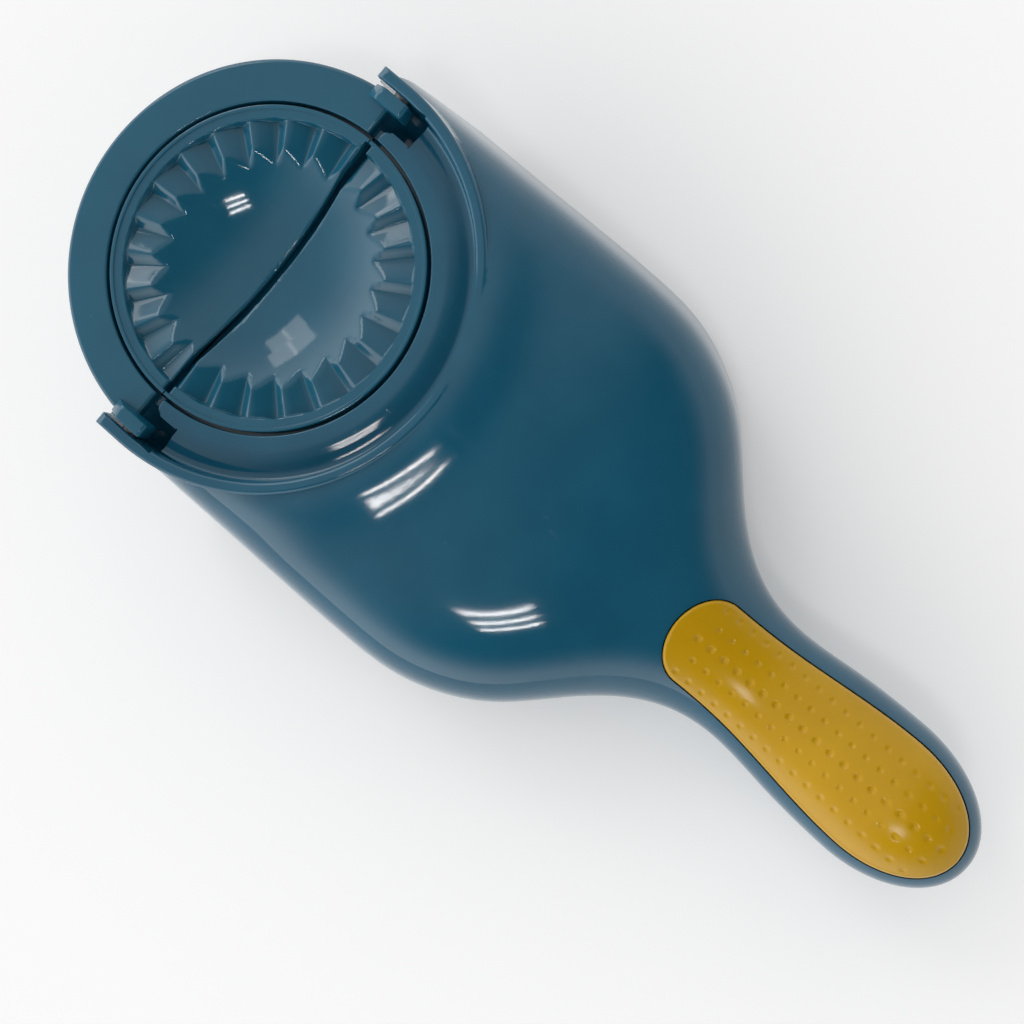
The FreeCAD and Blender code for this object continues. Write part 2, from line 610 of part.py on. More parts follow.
def grip_outline(grow):
    """Plan of the pad: round nose, flanks that widen to the palm, round tail."""
    end = TAIL_X - GRIP_TAIL
    nose = GRIP_X + GRIP_NOSE
    flank = spline([(nose, GRIP_HALF), (NECK_X, GRIP_HALF + 0.3), (PALM_X, GRIP_PALM)])
    pts = []
    for k in range(1, 6):
        a = math.radians(18 * k)
        pts.append((nose - (GRIP_NOSE + grow) * math.cos(a), (GRIP_HALF + grow) * math.sin(a)))
    pts += [(x, flank(x) + grow) for x in (between(nose, PALM_X, u / 6) for u in range(1, 6))]
    for k in range(0, 6):
        a = math.radians(15 * k)
        pts.append((PALM_X + (end - PALM_X + grow) * math.sin(a), (GRIP_PALM + grow) * math.cos(a)))
    loop = [V(GRIP_X - grow, 0, 0)] + [V(x, y, 0) for x, y in pts] + [V(end + grow, 0, 0)]
    loop += [V(x, -y, 0) for x, y in pts[::-1]]
    curve = Part.BSplineCurve()
    curve.interpolate(loop, PeriodicFlag=True)
    return Part.Face(Part.Wire(curve.toShape()))


def grip_prism(grow):
    """Upright bar with the pad's plan."""
    sheet = grip_outline(grow)
    sheet.translate(V(0, 0, -RIM_NECK))
    return sheet.extrude(V(0, 0, RIM_NECK + 2 * COLLAR_H))


def grip_pad():
    """Soft pad that lies in the handle, with the studs that hold it."""
    pad = upper_form(lambda x: -GRIP_PROUD, 0.0).common(grip_prism(0.0))
    pad = pad.cut(upper_form(lambda x: GRIP_DEEP - GRIP_BED, 0.0, skirt=RIM_NECK))
    for x in STUD_X:
        top = crest_at(x) - GRIP_DEEP / 2
        pad = pad.fuse(upright(x, 0, crest_at(x) - GRIP_WALL, top, STUD_R))
    return pad.removeSplitter()


def hinge_room():
    """Room for the hinge over the shelf: gap between the halves, lug notches and their round corners."""
    high, q = 2 * BODY_HALF, TAB_ROUND
    corner = box(BUTT - 1, BUTT + q, NOTCH_Y - q, NOTCH_Y + 1, -SHELF_Z, high)
    corner = corner.cut(upright(BUTT + q, NOTCH_Y - q, -SHELF_Z - 1, high + 1, q))
    return [box(-4 * EAR_X, BUTT, -RECESS_R, RECESS_R, -SHELF_Z, high)] \
        + both(box(-EAR_X, NOTCH_X, NOTCH_Y, RECESS_R, -SHELF_Z, high)) + both(corner)


def upper_shell():
    """Body and handle seen from above, open underneath."""
    shell = upper_form(lambda x: 0.0, -EAR_X).fuse(collar())
    shell = shell.cut([front_trim(), recess_cut()]).cut(hinge_room())
    shell = shell.cut([cup_clearance(), shell_cavity()])
    bed = grip_prism(GRIP_GAP).cut(upper_form(lambda x: GRIP_DEEP, 0.0, skirt=RIM_NECK))
    holes = [upright(x, 0, -RIM_Z, COLLAR_H, STUD_R + STUD_FIT) for x in STUD_X]
    holes += both(across(0, HINGE_RISE, RECESS_R - 1, BODY_HALF, PIN_R + PIN_FIT))
    body, handle = boss_spots()
    holes += [upright(x, y, z - 1, z + SCREW_BITE + 1, SCREW_R + SCREW_FIT) for x, y, z in body + handle]
    for a in CUP_SCREW_AT:
        x, y = ring_spot(CUP_R - CUP_SCREW_IN, a, False)
        holes.append(upright(x, y, LEDGE_Z - 1, 0, CUP_SCREW_R + SCREW_FREE))
    return shell.cut([bed] + holes)


def press_face():
    """Flat round face under the body, with a rounded edge."""
    z0, z1 = -BELLY - PRESS_H, -BELLY + WALL / 2
    disc = upright(PRESS_X, 0, z0, z1, PRESS_R)
    low = [e for e in disc.Edges if abs(e.BoundBox.ZMax - z0) < 1e-6]
    return disc.makeFillet(PRESS_ROUND, low)


def lower_shell():
    """Bottom cover of body and handle with the press face and the screw bosses."""
    far = 2 * TAIL_X
    start = FRONT_FOOT

    def ahead(x):
        return box(-far, x, -far, far, -far, far)
    shell = lower_form(0.0, -EAR_X, drop=PARTING).cut(ahead(start))
    body, handle = boss_spots()
    shell = shell.fuse(press_face())
    room = lower_form(WALL, -EAR_X, skirt=RIM_Z).cut(ahead(start + WALL))
    posts = [upright(x, y, belly_at(x) - 1, z, BOSS_R) for x, y, z in body + handle]
    ribs = both(box(start, REAR_X, PRESS_R * 0.4, PRESS_R * 0.4 + RIB_T, -2 * BELLY, -RIM_Z - PARTING))
    shell = shell.cut(room.cut(posts + ribs))
    floor = lower_form(WALL / 2, -EAR_X, skirt=RIM_Z)
    shell = shell.fuse([p.common(floor) for p in posts])
    # the locating lip stands just inside the leaning wall of the upper shell
    edge = WALL + LAP_FIT + FOOT_SPREAD * LAP_H / (RIM_Z + COLLAR_H)
    lap = band(edge, -WALL, LAP_H, -EAR_X).cut(band(edge + LAP_T, -2 * WALL, 2 * LAP_H, -EAR_X))
    lap = lap.cut([ahead(start + 2 * WALL + LAP_FIT), box(WALL_X, far, -far, far, -far, far)])
    shell = shell.fuse(lap)
    for x, y, z in body + handle:
        shell = shell.cut([upright(x, y, z - BOSS_WEB - 1, z + 1, SCREW_R + SCREW_FREE),
                           upright(x, y, -2 * BELLY, z - BOSS_WEB, HEAD_R + HEAD_FREE)])
    return shell.removeSplitter()


def screw(x, y, seat, shank, length, head, tall):
    """Pan head screw that points up from its seat, with a cross recess."""
    body = upright(x, y, seat - tall, seat, head).fuse(upright(x, y, seat, seat + length, shank))
    w, r, low = CROSS_W / 2, head * 0.6, seat - tall
    slot = [box(x - r, x + r, y - w, y + w, low - 1, low + CROSS_DEEP),
            box(x - w, x + w, y - r, y + r, low - 1, low + CROSS_DEEP)]
    return body.cut(slot)


def shell_screws(spots):
    """Screws that hold the lower shell at the given bosses."""
    return Part.makeCompound([screw(x, y, z - BOSS_WEB, SCREW_R, BOSS_WEB + SCREW_BITE, HEAD_R, HEAD_H)
                              for x, y, z in spots])


def cup_screws(front):
    """Screws that hold a cup down on its ledge."""
    spots = [ring_spot(CUP_R - CUP_SCREW_IN, a, front) for a in CUP_SCREW_AT]
    return Part.makeCompound([screw(x, y, LEDGE_Z, CUP_SCREW_R, LEDGE_T + CUP_SCREW_BITE - 0.2,
                                    CUP_HEAD_R, CUP_HEAD_H) for x, y in spots])


def hinge_pin():
    """Steel pin on the +Y side, pressed into a blind hole of the lug and turning in the ear."""
    outside = COLLAR_R + COLLAR_FLARE * (COLLAR_H - HINGE_RISE) / COLLAR_DROP
    pin = across(0, HINGE_RISE, LUG_IN + LUG_SKIN + PIN_END, outside - PIN_SINK, PIN_R)
    ends = [e for e in pin.Edges if e.BoundBox.YLength < 1e-6]
    return pin.makeChamfer(PIN_R * 0.15, ends)


def build():
    """Every piece by its name."""
    body, handle = boss_spots()
    right, left = both(hinge_pin())
    return {
        "upper_shell": upper_shell(),
        "lower_shell": lower_shell(),
        "rear_mould_cup": mould_cup(False),
        "rear_cup_screws": cup_screws(False),
        "flap_ring": flap_ring(),
        "front_mould_cup": mould_cup(True),
        "front_cup_screws": cup_screws(True),
        "hinge_pin_left": left,
        "hinge_pin_right": right,
        "grip_pad": grip_pad(),
        "body_screws": shell_screws(body),
        "handle_screws": shell_screws(handle),
    }


os.makedirs("parts", exist_ok=True)
for name, shape in build().items():
    shape.translate(V(-PRESS_X, 0, RING_Z))
    shape.exportStep("parts/%s.step" % name)
    b = shape.BoundBox
    print("%-18s solids %d valid %s volume %8.0f  x %.1f %.1f  y %.1f %.1f  z %.1f %.1f" % (
        name, len(shape.Solids), shape.isValid(), shape.Volume,
        b.XMin, b.XMax, b.YMin, b.YMax, b.ZMin, b.ZMax))
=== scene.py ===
import math
import bpy
import numpy as np
from mathutils import Matrix

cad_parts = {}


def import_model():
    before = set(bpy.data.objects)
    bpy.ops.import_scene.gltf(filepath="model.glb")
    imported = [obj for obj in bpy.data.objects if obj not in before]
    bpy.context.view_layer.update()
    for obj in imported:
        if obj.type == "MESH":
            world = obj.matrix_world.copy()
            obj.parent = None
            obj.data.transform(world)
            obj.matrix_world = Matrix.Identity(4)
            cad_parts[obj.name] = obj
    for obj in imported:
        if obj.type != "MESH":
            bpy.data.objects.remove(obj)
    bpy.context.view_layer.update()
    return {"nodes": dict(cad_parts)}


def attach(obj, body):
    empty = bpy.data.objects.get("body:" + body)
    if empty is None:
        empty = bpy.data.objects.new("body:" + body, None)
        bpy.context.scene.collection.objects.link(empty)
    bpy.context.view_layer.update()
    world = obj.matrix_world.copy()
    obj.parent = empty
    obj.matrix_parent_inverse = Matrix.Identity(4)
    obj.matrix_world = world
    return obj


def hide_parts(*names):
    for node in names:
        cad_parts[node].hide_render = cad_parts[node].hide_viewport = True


# Hand-held dumpling press: glossy shells, toothed mould cups and a soft pad.
# Shapes are worked out in millimetres about the centre of the dish, with the
# ring's face at z = 0 and +X to the handle, as in the part's own source. A
# finished mesh is moved to the shared frame in metres.

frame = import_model()

# Ring, flap and cups
FLAP_R = 46.0
RING_T = 2.8
SKIRT_T = 2.0
SKIRT_H = 6.5
FLAP_ROUND = 1.2
RIB_T = 1.6
RIB_STEP = 30.0
BUTT = 1.0
FLAP_BUTT = 1.4
END_SINK = 2.0
CUP_R = 35.8
CUP_GAP = 0.8
CUP_SEAT = 4.5
CUP_WALL = 2.0
LEDGE_T = 1.5
LEDGE_W = 5.0
DISH_DEPTH = 8.1
DISH_R = 50.7
LIP_W = 0.9
LIP_H = 0.1
LIP_DEEP = 2.2
TIP_GAP = 0.15
RIM_W = 3.0
RIM_SINK = 0.3
TOOTH_N = 12
TOOTH_TOP = 0.6
TOOTH_H = 2.0
FRONT_PHASE = 2.5
REAR_PHASE = 11.5
EDGE = 0.45            # rounding of moulded edges

# Hinge
HINGE_RISE = 0.5
PIN_R = 2.0
PIN_FIT = 0.05
PIN_PRESS = 0.02
LUG_SKIN = 0.8
LUG_R = 3.6
LUG_BACK = 3.4
LUG_ROUND = 1.0
LUG_W = 3.3
LUG_REACH = 6.8
LUG_FLAT = 3.8
SIDE_GAP = 0.8
SWING_GAP = 0.9
NOTCH_IN = 3.1
STOP_W = 2.2
STOP_GAP = 0.15

# Shells
WALL = 2.5
COLLAR_T = 2.8
COLLAR_H = 4.2
COLLAR_ROUND = 1.0
COLLAR_FLARE = 1.3
COLLAR_DROP = 14.0
RECESS_FILLET = 1.5
# slopes of the fixed ring's face on its way down to the gutter at the collar, by radius
GUTTER = ((39.3, 0.0), (40.6, 0.18), (42.2, 0.25), (43.4, 0.33), (44.3, 0.3), (44.8, 0.2), (45.3, 0.0))
CROWN_LEAN = 0.9       # the top behind the ring stands this much higher on the right
LEAN_Y = (-24.0, 16.0)
LEAN_X = (60.0, 105.0)
LEAN_REACH = (44.0, 50.0)
EAR_X = 7.2
EAR_ROUND = 3.0
EAR_LOW = 7.0
SHELF_X = 6.0
SHELF_Z = 11.2
FRONT_FOOT = 7.5
TAB_ROUND = 1.8
FOOT_SPREAD = 6.3
SIDE_END_X = 62.0
NECK_X = 138.0
PALM_X = 172.6
TAIL_X = 197.6
NECK_HALF = 15.5
PALM_HALF = 17.4
SHOULDER = ((0.184, 0.961), (0.342, 0.847), (0.5, 0.636), (0.658, 0.323), (0.816, 0.096))
RIM_Z = 33.0
RIM_REAR = 27.2
RIM_NECK = 27.0
RIM_PALM = 22.5
RIM_TAIL = 18.0
CREST_NECK = 11.0
CREST_PALM = 5.8
CREST = ((49.6, 3.83), (52.2, 3.56), (54.4, 3.18), (56.6, 2.71), (58.9, 2.2), (62.0, 1.65), (66.0, 1.1),
         (75.0, -0.02), (85.0, -1.24), (95.0, -2.58), (105.0, -4.38), (120.0, -7.89))
BELLY = 37.0
BELLY_PALM = 34.5
BODY_POWER = 6.0
HANDLE_POWER = 2.2
BELLY_POWER = 5.0
PARTING = 0.2
PRESS_R = 38.0
PRESS_H = 3.0
PRESS_ROUND = 1.5
PRESS_X = 52.0

# Grip pad
GRIP_X = 117.0
GRIP_TAIL = 4.3
GRIP_NOSE = 8.0
GRIP_HALF = 10.5
GRIP_PALM = 13.85
GRIP_DEEP = 1.8
GRIP_PROUD = 0.6
GRIP_GAP = 0.3
GRIP_BED = 0.15
GRIP_WALL = 4.4
PAD_ROUND = 0.9        # rounding of the pad's edge
DIMPLE_PITCH = 3.64    # dimples along a row
DIMPLE_ROW = 4.25      # one row to the next
DIMPLE_R = 0.8
DIMPLE_DEEP = 0.24
DIMPLE_MIDDLE = 1.3    # the middle row is this much larger
DIMPLE_START = 5.76    # the middle row's first place from the nose
DIMPLE_BACK = 0.36     # each row set back by this share of the pitch
DIMPLE_EDGE = 1.7      # least way from a dimple to the pad's edge
DIMPLE_NOSE = 5.0      # no dimples nearer to the ends
DIMPLE_TAIL = 4.0

# Screws
SCREW_R = 1.45
SCREW_FREE = 0.25
HEAD_R = 2.8
HEAD_FREE = 0.4
BOSS_R = 4.2
BOSS_WEB = 4.5
BODY_BOSS = ((34.0, 43.0), (84.0, 36.0))
BODY_SEAT = 28.0
HANDLE_BOSS = ((124.0, 22.5), (177.0, 18.5))

# Sizes that follow
BORE_R = CUP_R + CUP_GAP
RECESS_R = FLAP_R + SIDE_GAP
COLLAR_R = RECESS_R + COLLAR_T
BODY_HALF = COLLAR_R + FOOT_SPREAD
FLARE = FOOT_SPREAD / BODY_HALF
TOOTH_R = CUP_R - RIM_W
PITCH = 180.0 / TOOTH_N
LUG_IN = FLAP_R - LUG_W
NOTCH_Y = LUG_IN - NOTCH_IN
NOTCH_X = LUG_REACH + SWING_GAP
LEDGE_R = BORE_R - LEDGE_W
LEDGE_Z = -(CUP_SEAT + LEDGE_T)
RING_Z = BELLY + PRESS_H
TAIL = TAIL_X - PALM_X
WALL_X = SIDE_END_X + 0.6 * (GRIP_X - SIDE_END_X)
GRIP_END = TAIL_X - GRIP_TAIL
FAR = 120.0
MM = 0.001
TO_FRAME = Matrix.Diagonal((MM, MM, MM, 1.0)) @ Matrix.Translation((-PRESS_X, 0.0, RING_Z))


# Curves of the body

def curve(points, start=0.0, end=0.0):
    """Cubic through points with given end slopes: the slopes at the points solve one linear system."""
    xs, ys = np.array(points, float).T
    h = np.diff(xs)
    d = np.diff(ys) / h
    n = len(xs)
    a, r = np.zeros((n, n)), np.zeros(n)
    a[0, 0] = a[-1, -1] = 1.0
    r[0], r[-1] = start, end
    i = np.arange(1, n - 1)
    a[i, i - 1], a[i, i], a[i, i + 1] = h[1:], 2 * (h[1:] + h[:-1]), h[:-1]
    r[i] = 3 * (h[1:] * d[:-1] + h[:-1] * d[1:])
    m = np.linalg.solve(a, r)

    def value(x):
        x = np.clip(x, xs[0], xs[-1])
        k = np.clip(np.searchsorted(xs, x, side="right") - 1, 0, n - 2)
        t = (x - xs[k]) / h[k]
        u = 1 - t
        return (ys[k] * u * u * (1 + 2 * t) + ys[k + 1] * t * t * (3 - 2 * t)
                + h[k] * (m[k] * t * u * u - m[k + 1] * t * t * u))
    return value


def between(a, b, share):
    """Point a share of the way from a to b."""
    return a + (b - a) * share


def smooth(x, a, b):
    """0 up to a, 1 from b, with an easy rise between."""
    t = np.clip((x - a) / (b - a), 0.0, 1.0)
    return t * t * (3 - 2 * t)


REAR_X = between(SIDE_END_X, NECK_X, 0.55)
TAIL_SLOPE = (RIM_PALM - RIM_TAIL) / TAIL
half_curve = curve(
    [(-EAR_X, BODY_HALF), (SIDE_END_X / 2, BODY_HALF), (SIDE_END_X, BODY_HALF)]
    + [(between(SIDE_END_X, NECK_X, u), between(NECK_HALF, BODY_HALF, v)) for u, v in SHOULDER]
    + [(NECK_X, NECK_HALF), (between(NECK_X, PALM_X, 0.5), between(NECK_HALF, PALM_HALF, 0.6)),
       (PALM_X, PALM_HALF)])
rim_curve = curve(
    [(-EAR_X, -RIM_Z), (SIDE_END_X * 0.6, -RIM_Z), (SIDE_END_X, -RIM_Z), (REAR_X, -RIM_REAR),
     (NECK_X, -RIM_NECK), (PALM_X, -RIM_PALM), (TAIL_X, -RIM_TAIL)], end=TAIL_SLOPE / 2)
crest_curve = curve(
    [(-EAR_X, COLLAR_H), (COLLAR_R / 2, COLLAR_H)] + list(CREST)
    + [(NECK_X, -CREST_NECK), (PALM_X, -CREST_PALM)], end=TAIL_SLOPE)
belly_curve = curve(
    [(-EAR_X, -BELLY), (SIDE_END_X, -BELLY), (NECK_X, -BELLY), (PALM_X, -BELLY_PALM)], end=TAIL_SLOPE)


def tail_share(x):
    """The handle's end is round: 1 up to the palm, then a quarter circle down to 0."""
    t = np.clip((x - PALM_X) / TAIL, 0.0, 1.0)
    return np.sqrt(1 - t * t)


def half_at(x):
    """Half width at the parting line, closed by the round end."""
    return half_curve(x) * tail_share(x)


def crest_at(x):
    """Height of the top along the middle: a curve, then the round end over the rim."""
    return np.where(x <= PALM_X, crest_curve(x), rim_curve(x) + (RIM_PALM - CREST_PALM) * tail_share(x))


def belly_at(x):
    """Height of the underside along the middle: a curve, then the round end."""
    return np.where(x <= PALM_X, belly_curve(x), rim_curve(x) - (BELLY_PALM - RIM_PALM) * tail_share(x))


def power_at(x, square):
    """Squareness of the section: square in the body, round in the handle."""
    return between(square, HANDLE_POWER, smooth(x, SIDE_END_X, between(SIDE_END_X, NECK_X, 0.9)))


def flare_at(x):
    """The side walls lean inwards over the body only."""
    return FLARE * (1 - smooth(x, SIDE_END_X, NECK_X))


def shell_wall(x):
    """Wall of the upper shell, thicker where the handle carries the pad."""
    return between(WALL, GRIP_WALL, smooth(x, WALL_X, GRIP_X))


def crown(x, y):
    """Height of the top: behind the ring it falls away in circles about the dish, further back along X."""
    reach = np.hypot(x, y)
    lean = (CROWN_LEAN * (smooth(y, *LEAN_Y) - 0.5) * (1 - smooth(x, *LEAN_X))
            * smooth(reach, *LEAN_REACH))
    return crest_at(between(reach, x, smooth(x, COLLAR_R, between(COLLAR_R, NECK_X, 0.6)))) + lean


def skin_z(x, y, inset):
    """Height of the upper skin over a point: halving steps find the share s of the section there."""
    half, power, flare = half_at(x) - inset, power_at(x, BODY_POWER), flare_at(x)
    low, high = np.zeros_like(x), np.ones_like(x)
    for step in range(40):
        s = (low + high) / 2
        inside = half * (1 - flare * s) * np.maximum(1 - s ** power, 0) ** (1 / power) > np.abs(y)
        low, high = np.where(inside, s, low), np.where(inside, high, s)
    rim = rim_curve(x)
    return rim + (crest_at(x) - rim - inset) * low


# Mesh building

def grid_faces(rows, cols):
    """Quads of a grid whose last column joins the first."""
    i, j = np.arange(rows - 1)[:, None], np.arange(cols)[None, :]
    k = (j + 1) % cols
    return np.stack([i * cols + j, i * cols + k, (i + 1) * cols + k, (i + 1) * cols + j], -1).reshape(-1, 4)


def volume(points, faces):
    """Signed volume within quads, each as two triangles from the origin."""
    p = points[faces]
    return (np.einsum("ij,ij->i", p[:, 0], np.cross(p[:, 1], p[:, 2]))
            + np.einsum("ij,ij->i", p[:, 0], np.cross(p[:, 2], p[:, 3]))).sum() / 6


def solid(loops):
    """Closed mesh from closed loops of points in a row, with a face over each end, turned outwards."""
    loops = np.asarray(loops, float)
    rows, cols = loops.shape[:2]
    points = loops.reshape(-1, 3)
    quads = grid_faces(rows, cols)
    middle = points - points.mean(0)
    ends = [list(range(cols))[::-1], list(range((rows - 1) * cols, rows * cols))]
    if volume(middle, quads) < 0:
        quads = quads[:, ::-1]
        ends = [e[::-1] for e in ends]
    mesh = bpy.data.meshes.new("solid")
    mesh.from_pydata(points.tolist(), [], quads.tolist() + ends)
    return mesh


def work(base, steps):
    """Solid with others added to it or cut from it, in order. Every step is a boolean on closed meshes."""
    tools = [bpy.data.objects.new("tool", m) for m in [base] + [s[1] for s in steps]]
    for o in tools:
        bpy.context.scene.collection.objects.link(o)
    for (kind, mesh), tool in zip(steps, tools[1:]):
        mod = tools[0].modifiers.new(kind, "BOOLEAN")
        mod.operation, mod.solver, mod.object = kind, "MANIFOLD", tool
    done = bpy.data.meshes.new_from_object(tools[0].evaluated_get(bpy.context.evaluated_depsgraph_get()))
    for o in tools:
        mesh = o.data
        bpy.data.objects.remove(o)
        bpy.data.meshes.remove(mesh)
    return done


def add(*meshes):
    """Boolean steps that join meshes."""
    return [("UNION", m) for m in meshes]


def cut(*meshes):
    """Boolean steps that take meshes away."""
    return [("DIFFERENCE", m) for m in meshes]


def arc(cx, cz, r, start, end, count):
    """Points on a circle from one angle to another, in degrees."""
    a = np.radians(np.linspace(start, end, count))
    return np.stack([cx + r * np.cos(a), cz + r * np.sin(a)], -1)


def lathe(profile, x=0.0, y=0.0, count=180):
    """Profile of (radius, z) points turned fully about an upright line."""
    r, z = np.array(profile, float).T
    a = np.linspace(0, 2 * np.pi, count, endpoint=False)
    ring = np.stack([np.cos(a), np.sin(a)], -1)
    return solid(np.concatenate([r[:, None, None] * ring[None] + [x, y],
                                 np.broadcast_to(z[:, None, None], (len(r), count, 1))], -1))


def post(x, y, z0, z1, r, count=48):
    """Upright round bar."""
    return lathe([(r, z0), (r, z1)], x, y, count)


def block(x0, x1, y0, y1, z0, z1):
    """Box between two corners."""
    plan = np.array([(x0, y0), (x1, y0), (x1, y1), (x0, y1)], float)
    return prism(plan, z0, z1)


def prism(plan, z0, z1):
    """Plan of (x, y) points carried up from z0 to z1."""
    plan = np.asarray(plan, float)
    return solid([np.column_stack([plan, np.full(len(plan), z)]) for z in (z0, z1)])


def slab(side, y0, y1):
    """Side view of (x, z) points carried across from y0 to y1."""
    side = np.asarray(side, float)
    return solid([np.column_stack([side[:, 0], np.full(len(side), y), side[:, 1]]) for y in (y0, y1)])


def across(x, z, y0, y1, r, count=64):
    """Round bar along Y."""
    a = np.linspace(0, 2 * np.pi, count, endpoint=False)
    return slab(np.column_stack([x + r * np.cos(a), z + r * np.sin(a)]), y0, y1)


def round_plan(points, radii, count=7):
    """Plan with rounded corners: each corner becomes a quadratic arc between its two tangent points."""
    p = np.asarray(points, float)
    q = np.asarray(radii, float)[:, None]
    back, ahead = np.roll(p, 1, 0) - p, np.roll(p, -1, 0) - p
    back /= np.linalg.norm(back, axis=1, keepdims=True)
    ahead /= np.linalg.norm(ahead, axis=1, keepdims=True)
    t = np.linspace(0, 1, count)[None, :, None]
    a, b = (p + back * q)[:, None], (p + ahead * q)[:, None]
    out = a * (1 - t) ** 2 + 2 * p[:, None] * t * (1 - t) + b * t ** 2
    return np.concatenate([o if r > 0 else o[:1] for o, r in zip(out, radii)])


# Shells

def stations(start, inset):
    """Places of the sections along X: even in the body and neck, closer towards the round end."""
    last = PALM_X + TAIL * math.sqrt(1 - ((inset + 1.2) / PALM_HALF) ** 2)
    return np.concatenate([np.linspace(start, SIDE_END_X, 88)[:-1], np.linspace(SIDE_END_X, NECK_X, 84)[:-1],
                           np.linspace(NECK_X, PALM_X, 34)[:-1],
                           PALM_X + (last - PALM_X) * np.sin(np.linspace(0, np.pi / 2, 36))])


def section(x, half, power, flare, count):
    """Half a section as shares (c, s), c**n + s**n = 1, spaced by length and turning together."""
    p, h, f = power[:, None], half[:, None], flare[:, None]
    mid, u = 0.5 ** (1 / p), np.linspace(0, 1, 240)[None]
    c = np.concatenate([(1 - (mid * u) ** p) ** (1 / p), (mid * (1 - u))[:, 1:]], 1)
    s = np.concatenate([mid * u, (1 - (mid * (1 - u[:, 1:])) ** p) ** (1 / p)], 1)
    y, z = h * (1 - f * s) * c, 30.0 * s
    dy, dz = np.diff(y, axis=1), np.diff(z, axis=1)
    run = np.cumsum(np.hypot(dy, dz), 1)
    turn = np.cumsum(np.abs(np.gradient(np.unwrap(np.arctan2(dz, dy), axis=1), axis=1)), 1)
    pace = np.concatenate([np.zeros((len(x), 1)), 0.5 * run / run[:, -1:] + 0.5 * turn / turn[:, -1:]], 1)
    want = np.linspace(0, 1, count + 1)
    return (np.array([np.interp(want, a, b) for a, b in zip(pace, c)]),
            np.array([np.interp(want, a, b) for a, b in zip(pace, s)]))


def shell_form(start, inset, top, skirt=0.0, drop=0.0, count=52):
    """Solid under the upper skin or over the lower one: y = half (1 - flare s) c and z = rim + height s."""
    x = stations(start, float(np.max(inset(np.array([TAIL_X])))))
    t = inset(x)
    half, rim = half_at(x) - t, rim_curve(x) - drop
    power, flare = (power_at(x, BODY_POWER), flare_at(x)) if top else (power_at(x, BELLY_POWER), 0 * x)
    c, s = section(x, half, power, flare, count)
    y = half[:, None] * (1 - flare[:, None] * s) * c
    y = np.concatenate([y, -y[:, -2::-1]], 1)
    s = np.concatenate([s, s[:, -2::-1]], 1)
    xx = np.broadcast_to(x[:, None], y.shape)
    if top:
        height = crown(xx, y) - rim[:, None] - t[:, None]
    else:
        height = np.broadcast_to((belly_at(x) - rim + t)[:, None], y.shape)
    loops = np.stack([xx, y, rim[:, None] + height * s], -1)
    if skirt > 0:
        low = np.array([0, 0, -skirt if top else skirt])
        loops = np.concatenate([loops, loops[:, -1:] + low, loops[:, :1] + low], 1)
    return solid(loops)


def flat_inset(value):
    """The same inset at every place along X."""
    return lambda x: np.full_like(x, value)


def collar():
    """Wall round the recess: one profile carried along an ear, half round the dish and along the other."""
    q = COLLAR_ROUND
    foot = COLLAR_R + COLLAR_FLARE * (COLLAR_DROP + COLLAR_H) / COLLAR_DROP
    profile = np.concatenate([[(RECESS_R, -COLLAR_DROP)], arc(RECESS_R + q, COLLAR_H - q, q, 180, 90, 9),
                              arc(COLLAR_R - q, COLLAR_H - q, q, 90, 0, 9), [(foot, -COLLAR_DROP)]])
    r, z = profile.T
    ends = np.linspace(0, 1, 7)
    middle = (RECESS_R + COLLAR_R) / 2
    squeeze = 1 - (q / COLLAR_T * 1.4) * (1 - np.sin(np.pi / 2 * ends))
    ear_x = -EAR_X + q * (1 - np.cos(np.pi / 2 * ends))
    ear = [np.column_stack([np.full_like(r, a), middle + (r - middle) * b, z])
           for a, b in zip(ear_x, squeeze)]
    turn = np.radians(np.linspace(0, 180, 241))
    ring = [np.column_stack([r * np.sin(a), r * np.cos(a), z]) for a in turn]
    other = [e * [1, -1, 1] for e in ear[::-1]]
    return solid(ear + ring + other)


def front_trim(lean=0.0):
    """What lies in front of the ears and of the leaning front wall."""
    top = arc(-EAR_X + EAR_ROUND, COLLAR_H - EAR_ROUND, EAR_ROUND, 90, 180, 13)
    side = np.concatenate([[(-FAR, COLLAR_H + 1), (-EAR_X + EAR_ROUND, COLLAR_H + 1)], top,
                           [(-EAR_X, -EAR_LOW), (lean - SHELF_X, -SHELF_Z - WALL),
                            (FRONT_FOOT + lean, -RIM_Z), (FRONT_FOOT + lean, -FAR), (-FAR, -FAR)]])
    return slab(side, -FAR, FAR)


def hinge_opening():
    """Room for the flap and its lugs: a plan with round tabs, opened out at the top for a soft edge."""
    out = RECESS_R - 0.01
    half = [(-FAR, out), (NOTCH_X, out), (NOTCH_X, NOTCH_Y), (BUTT, NOTCH_Y)]
    radii = [0, 0, 0.4, TAB_ROUND]
    plan = half + [(x, -y) for x, y in half[::-1]]
    plan = round_plan(plan, radii + radii[::-1])
    soft = (np.abs(plan[:, 1]) < out - 0.1) & (plan[:, 0] > -FAR / 2)
    step = np.roll(plan, -1, 0) - np.roll(plan, 1, 0)
    side = np.stack([step[:, 1], -step[:, 0]], -1)
    side *= soft[:, None] / np.maximum(np.linalg.norm(side, axis=1, keepdims=True), 1e-9)
    side *= np.where((side * [1, 0]).sum(1) < -0.01, -1, 1)[:, None]
    rise = np.concatenate([[(0, -SHELF_Z)], [(EDGE * (1 - math.cos(a)), EDGE * (math.sin(a) - 1))
                                         for a in np.linspace(0, np.pi / 2, 6)], [(EDGE, FAR)]])
    return solid([np.column_stack([plan + side * o, np.full(len(plan), z)]) for o, z in rise])


